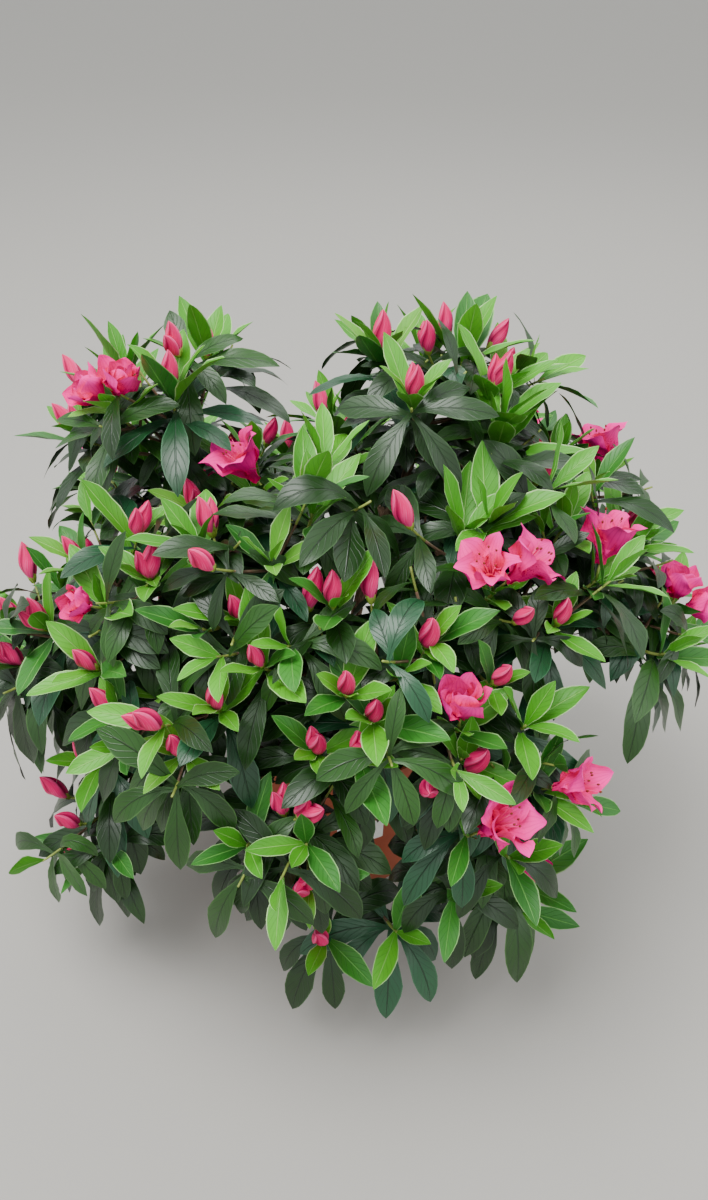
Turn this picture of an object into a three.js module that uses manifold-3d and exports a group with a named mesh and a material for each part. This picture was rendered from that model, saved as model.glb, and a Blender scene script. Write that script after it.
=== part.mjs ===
// An azalea shrub growing in its round plastic pot. Millimetres, +Z up. The origin is the centre of the pot's
// flat underside, +X is to the right of the shrub's fuller front and -Y points out of that front.
import * as THREE from "three";
import { mergeVertices } from "three/addons/utils/BufferGeometryUtils.js";
import Module from "manifold-3d";

const wasm = await Module();
wasm.setup();

// Pot: a thin-walled plastic cup with a deeper band round its mouth and drain holes in its floor
const POT_HEIGHT = 172;
const POT_RIM_RADIUS = 105;
const POT_FOOT_RADIUS = 84;
const POT_WALL = 2;
const BAND_DEPTH = 15;
const BAND_STEP = 2.5;
const POT_SIDES = 28;
const DRAIN_HOLES = 6;
const DRAIN_RADIUS = 6;
const DRAIN_SIDES = 6;
const DRAIN_CIRCLE = 62;

// Potting soil: fills the pot to a little below its rim and swells towards the trunk
const SOIL_EDGE_HEIGHT = 150;
const SOIL_CENTRE_HEIGHT = 156;
const SOIL_SHELF_RADIUS = 40;

// Every two solids that meet stand this far apart. A fused body has no edge shorter than this.
const GAP = 0.3;
const SHORTEST_EDGE = 0.008;

// Trunk: short and stout, from its flat cut at the soil to the knuckle where the boughs part. Its rings stand
// at shares of its height and make the root flare, the waist and the knuckle.
const TRUNK_TOP = 208;
const TRUNK_LEAN = 6;
const TRUNK_SIDES = 8;
const TRUNK_RINGS = [
  { share: 0, radius: 25 },
  { share: 0.18, radius: 19 },
  { share: 0.45, radius: 15 },
  { share: 0.8, radius: 18 },
  { share: 1, radius: 16 },
];

// Boughs: five-sided tapering limbs that rise, spread and level out
const MAIN_BOUGH_RADIUS = 5.5;
const SIDE_BOUGH_RADIUS = 4;
const BOUGH_TIP_RADIUS = 3.2;
const BOUGH_SIDES = 5;
const BOUGH_STEPS = 3;
const STEM_STEPS = 2;
const FORK_RING = 8;
const FORK_LOWEST = 0.5;
const FORK_HIGHEST = 0.9;
const SIDE_BOUGH_START = 0.5;
const EARLIEST_END = 0.56;
const LATEST_END = 0.96;
const END_INSET = 0.06;
const END_STEP = 0.02;
const LOW_MASS_HEIGHT = 210;
const EARLY_SPREAD = 0.28;
const EARLY_RISE = 0.5;
const LATE_SPREAD = 0.72;
const LATE_RISE = 0.78;
const LOW_ARCH = 45;
const HIGH_ARCH = 8;

// Shoots: each mass has one stem, which forks into shoots that end in a whorl of leaves
const CROWN_HEART = new THREE.Vector3(0, -20, 215);
const LEAST_RISE = 0.18;
const FORK_DEPTH = 48;
const SHOOT_SPREAD = 64;
const SHOOT_CROWDING = 4;
const CROWN_ROUNDING = 260;
const SHOOT_STEP = 7;
const STEM_TIP_RADIUS = 3;
const SHOOT_ROOT_RADIUS = 1.2;
const SHOOT_RADIUS = 2.1;
const SHOOT_NECK = 19;
const SHOOT_RISE = 1.5;
const SHOOT_SIDES = 3;
const SHOOT_REACH_RANGE = 0.1;
const SHORTEST_DRAW = 0.55;
const DRAW_STEP = 0.09;
const CELL_MARGIN = 0.6;
const FLOOR_CLEARANCE = 3;

// Leaves: long ovals in whorls, the old ones spreading and the young ones nearly upright
const WHORL_LEAVES = 6;
const YOUNG_EVERY = 3;
const OLD_LEAF_LENGTH = 80;
const OLD_LEAF_WIDTH = 30;
const OLD_LEAF_ANGLE = 66;
const YOUNG_LEAF_LENGTH = 52;
const YOUNG_LEAF_WIDTH = 20;
const YOUNG_LEAF_ANGLE = 32;
const LEAF_ANGLE_RANGE = 12;
const FIRST_PAIR_TURN = 60;
const PAIR_TURN = 120;
const LEAF_PARTING = 25;
const LEAF_SWING = 4;
const LEAF_SIZE_RANGE = 0.2;
const LEAF_DROOP = 0.16;
const LEAF_THICKNESS = 0.022;
const LEAF_WIDEST = 0.58;
const LEAF_SUNK = 0.1;
const LEAF_SPACING = 2.2;
const LEAF_TRIES = 5;
const LEAF_RAISE = 9;
const LEAF_SHRINK = 0.07;

// Blossom: closed spindle buds and wide five-lobed funnels
const BUD_SHARE = 0.55;
const BUD_LENGTH = 31;
const BUD_RADIUS = 6;
const BUD_SIDES = 5;
const BUD_WIDEST = 0.55;
const FLOWER_RADIUS = 29;
const FLOWER_DEPTH = 24;
const FLOWER_LOBES = 5;
const FLOWER_THROAT = 9;
const FLOWER_NOTCH_RADIUS = 15;
const FLOWER_NOTCH_DEPTH = 19;
const BUD_SUNK = 2;
const FLOWER_SUNK = 3.3;
const FLOWER_TURN = 13;

const GOLDEN_ANGLE = Math.PI * (3 - Math.sqrt(5));
const RANDOM_MODULUS = 2147483647;
const RANDOM_MULTIPLIER = 48271;
const SEED_MULTIPLIER = 7919;
const SEED_OFFSET = 12345;
const SEEDS_A_MASS = 100;
const UP = new THREE.Vector3(0, 0, 1);

// Each bough is named for the mass of leaves that it carries. The heading of that mass is in degrees, with 0
// along +X and 90 along +Y. Its reach is from the axis of the pot and its height is above the foot. Then come
// its number of shoots and how many of these have an open flower. Boughs spring from the trunk or each other.
const BOUGHS = [
  { name: "left_peak", from: "trunk", heading: 180, reach: 162, height: 488, shoots: 5, open: 1 },
  { name: "right_peak", from: "trunk", heading: 6, reach: 90, height: 510, shoots: 7, open: 0 },
  { name: "front_upper", from: "trunk", heading: 268, reach: 218, height: 388, shoots: 6, open: 0 },
  { name: "left_mid", from: "trunk", heading: 217, reach: 214, height: 400, shoots: 4, open: 1 },
  { name: "right_front", from: "trunk", heading: 319, reach: 227, height: 410, shoots: 3, open: 1 },
  { name: "front_right", from: "trunk", heading: 296, reach: 276, height: 300, shoots: 5, open: 2 },
  { name: "right_back", from: "trunk", heading: 39, reach: 216, height: 362, shoots: 5, open: 1 },
  { name: "back", from: "trunk", heading: 81, reach: 195, height: 296, shoots: 5, open: 1 },
  { name: "left_side", from: "trunk", heading: 176, reach: 268, height: 240, shoots: 5, open: 0 },
  { name: "low_front", from: "trunk", heading: 276, reach: 240, height: 144, shoots: 2, open: 0 },
  { name: "saddle", from: "left_peak", heading: 214, reach: 70, height: 438, shoots: 4, open: 1 },
  { name: "left_back", from: "left_peak", heading: 154, reach: 216, height: 362, shoots: 5, open: 1 },
  { name: "back_top", from: "right_peak", heading: 73, reach: 104, height: 405, shoots: 4, open: 0 },
  { name: "right_shoulder", from: "right_peak", heading: 325, reach: 158, height: 458, shoots: 3, open: 0 },
  { name: "centre_left", from: "front_upper", heading: 248, reach: 162, height: 448, shoots: 4, open: 0 },
  { name: "centre_front", from: "right_front", heading: 297, reach: 196, height: 418, shoots: 4, open: 1 },
  { name: "front_mid", from: "front_upper", heading: 263, reach: 262, height: 290, shoots: 4, open: 0 },
  { name: "front_centre", from: "front_upper", heading: 286, reach: 240, height: 362, shoots: 4, open: 1 },
  { name: "left_front", from: "left_mid", heading: 241, reach: 250, height: 338, shoots: 3, open: 0 },
  { name: "left_far", from: "left_mid", heading: 201, reach: 268, height: 320, shoots: 4, open: 0 },
  { name: "right_upper", from: "right_front", heading: 357, reach: 218, height: 402, shoots: 4, open: 1 },
  { name: "right_far", from: "right_front", heading: 341, reach: 272, height: 350, shoots: 4, open: 1 },
  { name: "right_skirt", from: "front_right", heading: 299, reach: 262, height: 190, shoots: 4, open: 1 },
  { name: "right_side", from: "right_back", heading: 15, reach: 272, height: 280, shoots: 5, open: 1 },
  { name: "back_right_skirt", from: "right_back", heading: 49, reach: 224, height: 190, shoots: 4, open: 0 },
  { name: "back_left", from: "back", heading: 122, reach: 188, height: 316, shoots: 5, open: 1 },
  { name: "left_skirt", from: "left_side", heading: 214, reach: 262, height: 192, shoots: 4, open: 0 },
  { name: "back_left_skirt", from: "left_side", heading: 137, reach: 228, height: 172, shoots: 4, open: 0 },
];

const LOWEST_MASS = Math.min(...BOUGHS.map((bough) => bough.height));
const HIGHEST_MASS = Math.max(...BOUGHS.map((bough) => bough.height));

// Colours and finishes
const POT_FINISH = new THREE.MeshStandardMaterial({ color: "#9c4a2b", roughness: 0.55, metalness: 0 });
const SOIL_FINISH = new THREE.MeshStandardMaterial({ color: "#2e2118", roughness: 0.95, metalness: 0 });
const BARK_FINISH = new THREE.MeshStandardMaterial({ color: "#6b5340", roughness: 0.9, metalness: 0 });
const LEAF_FINISH = new THREE.MeshStandardMaterial({ color: "#2f5a33", roughness: 0.5, metalness: 0 });

// Repeatable random numbers from 0 to 1, a fresh run of them for each seed
function makeRandom(seed) {
  let state = (seed * SEED_MULTIPLIER + SEED_OFFSET) % RANDOM_MODULUS;
  return function random() {
    state = (state * RANDOM_MULTIPLIER) % RANDOM_MODULUS;
    return state / RANDOM_MODULUS;
  };
}

function radians(degrees) {
  return (degrees * Math.PI) / 180;
}

function mix(a, b, share) {
  return a + (b - a) * share;
}

// A closed skin over a row of rings with equal numbers of points. The first and last may be single points.
function skin(rings) {
  const faces = [];
  let below = 0;
  for (let r = 1; r < rings.length; r++) {
    const above = below + rings[r - 1].length;
    const startsAtPoint = rings[r - 1].length === 1;
    const endsAtPoint = rings[r].length === 1;
    const sides = Math.max(rings[r - 1].length, rings[r].length);
    for (let i = 0; i < sides; i++) {
      const next = (i + 1) % sides;
      if (!endsAtPoint) faces.push(below + (startsAtPoint ? 0 : i), above + next, above + i);
      if (!startsAtPoint) faces.push(below + i, below + next, above + (endsAtPoint ? 0 : next));
    }
    below = above;
  }
  for (let i = 2; i < rings[0].length; i++) faces.push(0, i, i - 1);
  for (let i = 2; i < rings.at(-1).length; i++) faces.push(below, below + i - 1, below + i);
  return new THREE.BufferGeometry().setFromPoints(rings.flat()).setIndex(faces);
}

function solidOf(geometry) {
  const bare = geometry.clone().deleteAttribute("normal").deleteAttribute("uv");
  const merged = mergeVertices(bare, 1e-4);
  return new wasm.Manifold(
    new wasm.Mesh({
      numProp: 3,
      vertProperties: new Float32Array(merged.attributes.position.array),
      triVerts: new Uint32Array(merged.index.array),
    }),
  );
}

function geometryOf(solid) {
  const mesh = solid.getMesh();
  const geometry = new THREE.BufferGeometry();
  geometry.setAttribute("position", new THREE.BufferAttribute(mesh.vertProperties, 3));
  geometry.setIndex(new THREE.BufferAttribute(mesh.triVerts, 1));
  return geometry;
}

// The largest single body of a solid, with any sealed hollow in it filled and loose scraps dropped
function mainBody(solid) {
  const bodies = solid.decompose().sort((a, b) => b.volume() - a.volume());
  return bodies[0];
}

function shortestEdge(solid) {
  const { numProp, vertProperties, triVerts } = solid.getMesh();
  let shortest = Infinity;
  for (let i = 0; i < triVerts.length; i++) {
    const next = i % 3 === 2 ? i - 2 : i + 1;
    const from = numProp * triVerts[i];
    const to = numProp * triVerts[next];
    const [dx, dy, dz] = [0, 1, 2].map((axis) => vertProperties[to + axis] - vertProperties[from + axis]);
    shortest = Math.min(shortest, Math.hypot(dx, dy, dz));
  }
  return shortest;
}

// A body with one more piece fused on, or null where that would leave a sliver
function fused(body, piece) {
  const joined = body.add(piece);
  return shortestEdge(joined) < SHORTEST_EDGE ? null : joined;
}

function touches(solid, obstacles) {
  return obstacles.some((obstacle) => !solid.intersect(obstacle).isEmpty());
}

// Pot and soil are turned about the pot's axis, from outlines of radius and height
function turned(outline) {
  const profile = outline.map(([radius, height]) => new THREE.Vector2(radius, height));
  return new THREE.LatheGeometry(profile, POT_SIDES).rotateX(Math.PI / 2);
}

function potRadius(height) {
  return mix(POT_FOOT_RADIUS, POT_RIM_RADIUS, height / POT_HEIGHT);
}

function potSolid() {
  const bandFoot = POT_HEIGHT - BAND_DEPTH;
  const cup = solidOf(
    turned([
      [0, 0],
      [POT_FOOT_RADIUS, 0],
      [potRadius(bandFoot), bandFoot],
      [potRadius(bandFoot) + BAND_STEP, bandFoot],
      [POT_RIM_RADIUS + BAND_STEP, POT_HEIGHT],
      [POT_RIM_RADIUS - POT_WALL, POT_HEIGHT],
      [potRadius(POT_WALL) - POT_WALL, POT_WALL],
      [0, POT_WALL],
    ]),
  );
  const holes = [];
  for (let i = 0; i < DRAIN_HOLES; i++) {
    const turn = (i * 2 * Math.PI) / DRAIN_HOLES;
    const hole = new THREE.CylinderGeometry(DRAIN_RADIUS, DRAIN_RADIUS, 2 * (POT_WALL + GAP), DRAIN_SIDES);
    hole.rotateX(Math.PI / 2).translate(DRAIN_CIRCLE * Math.cos(turn), DRAIN_CIRCLE * Math.sin(turn), 0);
    holes.push(solidOf(hole));
  }
  return cup.subtract(wasm.Manifold.union(holes));
}

// The pot filled in and a little larger all round, which boughs and leaves keep out of
function potRoom() {
  return solidOf(
    turned([
      [0, 0],
      [POT_FOOT_RADIUS + GAP, 0],
      [POT_RIM_RADIUS + BAND_STEP + GAP, POT_HEIGHT - BAND_DEPTH - GAP],
      [POT_RIM_RADIUS + BAND_STEP + GAP, POT_HEIGHT + GAP],
      [0, POT_HEIGHT + GAP],
    ]),
  );
}

function soilSolid() {
  const floor = POT_WALL + GAP;
  const inset = POT_WALL + GAP;
  return solidOf(
    turned([
      [0, floor],
      [potRadius(floor) - inset, floor],
      [potRadius(SOIL_EDGE_HEIGHT) - inset, SOIL_EDGE_HEIGHT],
      [SOIL_SHELF_RADIUS, SOIL_CENTRE_HEIGHT],
      [0, SOIL_CENTRE_HEIGHT],
    ]),
  );
}

function polygon(centre, across, along, radius, sides) {
  const ring = [];
  for (let i = 0; i < sides; i++) {
    const angle = (i * 2 * Math.PI) / sides;
    const point = centre.clone();
    point.addScaledVector(across, radius * Math.cos(angle));
    point.addScaledVector(along, radius * Math.sin(angle));
    ring.push(point);
  }
  return ring;
}

// The trunk's line leans over a little more the higher it goes
function trunkCentre(share) {
  return new THREE.Vector3(-TRUNK_LEAN * share * share, 0, mix(SOIL_CENTRE_HEIGHT + GAP, TRUNK_TOP, share));
}

function trunkSolid(extra) {
  const across = new THREE.Vector3(1, 0, 0);
  const along = new THREE.Vector3(0, 1, 0);
  const rings = TRUNK_RINGS.map(({ share, radius }) => {
    const centre = trunkCentre(share);
    if (share === 1) centre.z += extra;
    return polygon(centre, across, along, radius + extra, TRUNK_SIDES);
  });
  return solidOf(skin(rings));
}

// A limb's line lies in one upright plane: it leaves steeply, arches and comes in to its end
function limbLine(start, end, arch) {
  const span = end.clone().sub(start);
  const flat = new THREE.Vector3(span.x, span.y, 0);
  const side = new THREE.Vector3(-flat.y, flat.x, 0).normalize();
  const first = start.clone().addScaledVector(flat, EARLY_SPREAD);
  first.z += Math.max(span.z, 0) * EARLY_RISE + arch;
  const second = start.clone().addScaledVector(flat, LATE_SPREAD);
  second.z += span.z * LATE_RISE + arch;
  return { curve: new THREE.CubicBezierCurve3(start, first, second, end), side };
}

// Two directions square to a limb's line and to each other
function squareTo(side, along) {
  const above = new THREE.Vector3().crossVectors(side, along).normalize();
  return [above, new THREE.Vector3().crossVectors(along, above).normalize()];
}

function limbGeometry(line, from, to, rootRadius, tipRadius, sides, steps) {
  const rings = [];
  for (let i = 0; i <= steps; i++) {
    const t = mix(from, to, i / steps);
    const [above, beside] = squareTo(line.side, line.curve.getTangent(t));
    rings.push(polygon(line.curve.getPoint(t), above, beside, mix(rootRadius, tipRadius, i / steps), sides));
  }
  return skin(rings);
}

// The middle of a mass, the way it faces and the point where its stem forks
function massPlan(bough) {
  const turn = radians(bough.heading);
  const middle = new THREE.Vector3(bough.reach * Math.cos(turn), bough.reach * Math.sin(turn), bough.height);
  const facing = middle.clone().sub(CROWN_HEART);
  facing.z = Math.max(facing.z, LEAST_RISE * Math.hypot(facing.x, facing.y));
  facing.normalize();
  const fork = middle.clone().addScaledVector(facing, -FORK_DEPTH);
  return { middle, facing, fork };
}

const PLANS = new Map(BOUGHS.map((bough) => [bough.name, massPlan(bough)]));

// A mass keeps to the space that is nearer to its own middle than to any other
function inOwnSpace(point, name) {
  const own = PLANS.get(name).middle;
  for (const [other, plan] of PLANS) {
    if (other === name) continue;
    const apart = own.distanceTo(plan.middle);
    const depth = (point.distanceToSquared(plan.middle) - point.distanceToSquared(own)) / (2 * apart);
    if (depth < CELL_MARGIN) return false;
  }
  return true;
}

// Whether all of a piece lies in its mass's space and clear of the ground that the pot stands on
function geometryInOwnSpace(geometry, name) {
  const positions = geometry.attributes.position;
  const point = new THREE.Vector3();
  for (let i = 0; i < positions.count; i++) {
    point.fromBufferAttribute(positions, i);
    if (point.z < FLOOR_CLEARANCE || !inOwnSpace(point, name)) return false;
  }
  return true;
}

// The line of each bough runs from where it springs to the fork of its mass
const LINES = new Map();

function boughLine(bough) {
  if (LINES.has(bough.name)) return LINES.get(bough.name);
  const plan = PLANS.get(bough.name);
  let start;
  if (bough.from === "trunk") {
    const lift = THREE.MathUtils.inverseLerp(LOWEST_MASS, HIGHEST_MASS, bough.height);
    start = trunkCentre(mix(FORK_LOWEST, FORK_HIGHEST, lift));
    const turn = Math.atan2(plan.fork.y, plan.fork.x);
    start.x += FORK_RING * Math.cos(turn);
    start.y += FORK_RING * Math.sin(turn);
  } else {
    const parent = BOUGHS.find((other) => other.name === bough.from);
    start = boughLine(parent).curve.getPoint(SIDE_BOUGH_START);
  }
  const arch = bough.height < LOW_MASS_HEIGHT ? LOW_ARCH : HIGH_ARCH;
  const line = limbLine(start, plan.fork, arch);
  LINES.set(bough.name, line);
  return line;
}

// A bough ends where it is well inside its mass's space, and the mass's stem takes over from there
function boughEnd(bough) {
  const { curve } = boughLine(bough);
  let end = LATEST_END;
  while (end > EARLIEST_END && inOwnSpace(curve.getPoint(end - END_INSET), bough.name)) end -= END_STEP;
  return end;
}

function boughGeometry(bough, extra) {
  const root = bough.from === "trunk" ? MAIN_BOUGH_RADIUS : SIDE_BOUGH_RADIUS;
  const line = boughLine(bough);
  const end = boughEnd(bough);
  return limbGeometry(line, 0, end, root + extra, BOUGH_TIP_RADIUS + extra, BOUGH_SIDES, BOUGH_STEPS);
}

// A leaf is a keeled blade. Its pointed root is sunk through the shoot, and its outer half droops.
function leafGeometry(root, direction, across, length, width) {
  const face = new THREE.Vector3().crossVectors(direction, across).normalize();
  const foot = root.clone().addScaledVector(direction, -LEAF_SUNK);
  const middle = root.clone().addScaledVector(direction, length * LEAF_WIDEST);
  const blade = [
    middle.clone().addScaledVector(across, -width / 2),
    middle.clone().addScaledVector(face, -length * LEAF_THICKNESS),
    middle.clone().addScaledVector(across, width / 2),
  ];
  const tip = root.clone().addScaledVector(direction, length);
  tip.z -= length * LEAF_DROOP;
  return skin([[foot], blade, [tip]]);
}

// A closed flower bud: a spindle with its pointed root in the end of the shoot
function budGeometry(root, axis, across, along) {
  const waist = root.clone().addScaledVector(axis, BUD_LENGTH * BUD_WIDEST);
  const tip = root.clone().addScaledVector(axis, BUD_LENGTH);
  return skin([[root], polygon(waist, across, along, BUD_RADIUS, BUD_SIDES), [tip]]);
}

// An open flower: a star-shaped funnel, hollowed down to its throat
function flowerGeometry(root, axis, across, along) {
  const rim = [];
  for (let i = 0; i < 2 * FLOWER_LOBES; i++) {
    const isLobe = i % 2 === 0;
    const radius = isLobe ? FLOWER_RADIUS : FLOWER_NOTCH_RADIUS;
    const angle = (i * Math.PI) / FLOWER_LOBES + radians(FLOWER_TURN);
    const point = root.clone().addScaledVector(axis, isLobe ? FLOWER_DEPTH : FLOWER_NOTCH_DEPTH);
    point.addScaledVector(across, radius * Math.cos(angle)).addScaledVector(along, radius * Math.sin(angle));
    rim.push(point);
  }
  const throat = root.clone().addScaledVector(axis, FLOWER_THROAT);
  return skin([[root], rim, [throat]]);
}

// Where each shoot of a mass ends: a spiral over a domed patch that faces out of the crown
function shootTip(plan, index, count, draw, lag) {
  const level = new THREE.Vector3(-plan.facing.y, plan.facing.x, 0).normalize();
  const [rise, across] = squareTo(level, plan.facing);
  const spread = SHOOT_SPREAD * Math.sqrt(count / SHOOT_CROWDING);
  const distance = draw * spread * Math.sqrt((index + 0.5) / count);
  const turn = index * GOLDEN_ANGLE + lag;
  const tip = plan.middle.clone();
  tip.addScaledVector(across, distance * Math.cos(turn));
  tip.addScaledVector(rise, distance * Math.sin(turn));
  return tip.addScaledVector(plan.facing, -(distance * distance) / CROWN_ROUNDING);
}

// A leaf that would leave its space or touch something is turned up and shortened a little, and then left off
function fittedLeaf(name, root, axis, outward, young, body, obstacles, random) {
  const length = young ? YOUNG_LEAF_LENGTH : OLD_LEAF_LENGTH;
  const width = young ? YOUNG_LEAF_WIDTH : OLD_LEAF_WIDTH;
  const size = mix(1 - LEAF_SIZE_RANGE, 1 + LEAF_SIZE_RANGE / 2, random());
  const lean = (young ? YOUNG_LEAF_ANGLE : OLD_LEAF_ANGLE) + LEAF_ANGLE_RANGE * mix(-1, 1, random());
  const sideways = new THREE.Vector3().crossVectors(axis, outward);
  for (let attempt = 0; attempt < LEAF_TRIES; attempt++) {
    const angle = radians(lean - attempt * LEAF_RAISE);
    const fit = size * (1 - attempt * LEAF_SHRINK);
    const direction = axis.clone().multiplyScalar(Math.cos(angle)).addScaledVector(outward, Math.sin(angle));
    const leaf = leafGeometry(root, direction, sideways, length * fit, width * fit);
    if (!geometryInOwnSpace(leaf, name)) continue;
    const solid = solidOf(leaf);
    if (!touches(solid, obstacles) && fused(body, solid)) return solid;
  }
  return null;
}

// A shoot rises from the stem and straightens at a neck, so that its whorl faces out and up
function fittedShoot(bough, start, index, body, obstacles, random) {
  const plan = PLANS.get(bough.name);
  const turn = random();
  const stretch = mix(1 - SHOOT_REACH_RANGE, 1 + SHOOT_REACH_RANGE, random());
  for (let draw = 1; draw >= SHORTEST_DRAW; draw -= DRAW_STEP) {
    const tip = shootTip(plan, index, bough.shoots, draw * stretch, turn);
    const outwards = tip.clone().sub(start).normalize().add(plan.facing);
    const axis = outwards.addScaledVector(UP, SHOOT_RISE).normalize();
    const neck = tip.clone().addScaledVector(axis, -SHOOT_NECK);
    const rise = neck.clone().sub(start).normalize();
    const side = new THREE.Vector3().crossVectors(axis, rise).normalize();
    const [above, beside] = squareTo(side, axis);
    const twig = skin([
      polygon(start, ...squareTo(side, rise), SHOOT_ROOT_RADIUS, SHOOT_SIDES),
      polygon(neck, above, beside, SHOOT_RADIUS, SHOOT_SIDES),
      polygon(tip, above, beside, SHOOT_RADIUS, SHOOT_SIDES),
    ]);
    if (!geometryInOwnSpace(twig, bough.name)) continue;
    const solid = solidOf(twig);
    const isOpen = index < bough.open;
    if (touches(solid, obstacles) || !fused(body, solid)) continue;
    return { tip, axis, above, beside, random, solid, isOpen };
  }
  return null;
}

function blossomSolid(name, shoot, body, obstacles) {
  const { tip, axis, above, beside, isOpen } = shoot;
  if (!isOpen && shoot.random() > BUD_SHARE) return null;
  const root = tip.clone().addScaledVector(axis, isOpen ? -FLOWER_SUNK : -BUD_SUNK);
  const blossom = (isOpen ? flowerGeometry : budGeometry)(root, axis, above, beside);
  if (!geometryInOwnSpace(blossom, name)) return null;
  const solid = solidOf(blossom);
  return touches(solid, obstacles) || !fused(body, solid) ? null : solid;
}

// The leaves of a whorl stand in pairs, a pair on each side of the shoot, and step down it towards its neck
function leafSolid(name, shoot, place, body, obstacles) {
  const { tip, axis, above, beside, isOpen } = shoot;
  const root = tip.clone().addScaledVector(axis, -BUD_SUNK - (WHORL_LEAVES - place) * LEAF_SPACING);
  const pair = Math.floor(place / 2);
  const parting = place % 2 === 0 ? -LEAF_PARTING : LEAF_PARTING;
  const swing = LEAF_SWING * mix(-1, 1, shoot.random());
  const turn = radians(FIRST_PAIR_TURN + PAIR_TURN * pair + parting + swing);
  const outward = above.clone().multiplyScalar(Math.cos(turn)).addScaledVector(beside, Math.sin(turn));
  const young = !isOpen && place % YOUNG_EVERY === YOUNG_EVERY - 1;
  return fittedLeaf(name, root, axis, outward, young, body, obstacles, shoot.random);
}

// One mass of leaves: its stem, its shoots and what they carry, fused into one body
function massSolid(bough, seed, limbs) {
  const line = boughLine(bough);
  const end = boughEnd(bough);
  const length = line.curve.getLength();
  const from = end + GAP / length;
  const stemShape = limbGeometry(line, from, 1, BOUGH_TIP_RADIUS, STEM_TIP_RADIUS, SHOOT_SIDES, STEM_STEPS);
  const stem = mainBody(solidOf(stemShape).subtract(limbs));
  const step = Math.min(SHOOT_STEP / length, (1 - from) / (bough.shoots + 1));
  const shoots = [];
  let body = stem;
  for (let i = 0; i < bough.shoots; i++) {
    const start = line.curve.getPoint(1 - (i + 0.5) * step);
    const shoot = fittedShoot(bough, start, i, body, [limbs], makeRandom(seed * SEEDS_A_MASS + i));
    if (!shoot) continue;
    shoots.push(shoot);
    body = body.add(shoot.solid);
  }
  const twigs = shoots.map((shoot) => shoot.solid);
  const carried = [];
  const around = (shoot) => [limbs, stem, ...twigs.filter((twig) => twig !== shoot.solid), ...carried];
  for (const shoot of shoots) {
    const blossom = blossomSolid(bough.name, shoot, body, around(shoot));
    if (!blossom) continue;
    carried.push(blossom);
    body = body.add(blossom);
  }
  for (let place = 0; place < WHORL_LEAVES; place++) {
    for (const shoot of shoots) {
      const leaf = leafSolid(bough.name, shoot, place, body, around(shoot));
      if (!leaf) continue;
      carried.push(leaf);
      body = body.add(leaf);
    }
  }
  return mainBody(body);
}

const group = new THREE.Group();

function addPiece(name, solid, finish) {
  const piece = new THREE.Mesh(geometryOf(solid), finish);
  piece.name = name;
  group.add(piece);
}

addPiece("pot", potSolid(), POT_FINISH);
addPiece("soil", soilSolid(), SOIL_FINISH);
addPiece("trunk", trunkSolid(0), BARK_FINISH);

// Each bough is cut clear of the trunk and of the boughs made before it
const limbRooms = [trunkSolid(GAP)];
for (const bough of BOUGHS) {
  const room = wasm.Manifold.union(limbRooms);
  const solid = mainBody(solidOf(boughGeometry(bough, 0)).subtract(room));
  addPiece("bough_" + bough.name, solid, BARK_FINISH);
  limbRooms.push(solidOf(boughGeometry(bough, GAP)));
}

BOUGHS.forEach((bough, index) => {
  const others = limbRooms.filter((_, i) => i !== index + 1);
  const limbs = wasm.Manifold.union([potRoom(), ...others]);
  addPiece("leaves_" + bough.name, massSolid(bough, index + 1, limbs), LEAF_FINISH);
});

export default group;
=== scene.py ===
import math
from collections import namedtuple

import bpy
import numpy as np
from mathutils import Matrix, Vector, noise
from mathutils.bvhtree import BVHTree


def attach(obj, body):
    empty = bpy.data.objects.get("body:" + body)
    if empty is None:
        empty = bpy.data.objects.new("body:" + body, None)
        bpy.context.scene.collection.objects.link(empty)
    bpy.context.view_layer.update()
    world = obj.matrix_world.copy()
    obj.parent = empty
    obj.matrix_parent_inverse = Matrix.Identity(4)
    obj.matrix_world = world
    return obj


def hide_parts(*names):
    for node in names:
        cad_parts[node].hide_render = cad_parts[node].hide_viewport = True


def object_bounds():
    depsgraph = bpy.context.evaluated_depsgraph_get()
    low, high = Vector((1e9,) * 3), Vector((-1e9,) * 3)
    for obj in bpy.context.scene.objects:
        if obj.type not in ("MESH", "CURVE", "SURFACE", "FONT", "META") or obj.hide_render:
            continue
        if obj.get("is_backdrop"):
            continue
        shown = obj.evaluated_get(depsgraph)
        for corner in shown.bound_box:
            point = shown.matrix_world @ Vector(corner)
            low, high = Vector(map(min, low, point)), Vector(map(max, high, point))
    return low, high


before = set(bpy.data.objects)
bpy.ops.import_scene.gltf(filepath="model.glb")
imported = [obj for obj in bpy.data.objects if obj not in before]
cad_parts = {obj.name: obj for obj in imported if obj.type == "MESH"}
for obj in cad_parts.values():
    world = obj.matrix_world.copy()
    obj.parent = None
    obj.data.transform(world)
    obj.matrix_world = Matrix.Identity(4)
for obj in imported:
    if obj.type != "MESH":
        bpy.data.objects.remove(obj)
cad_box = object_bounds()

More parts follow.
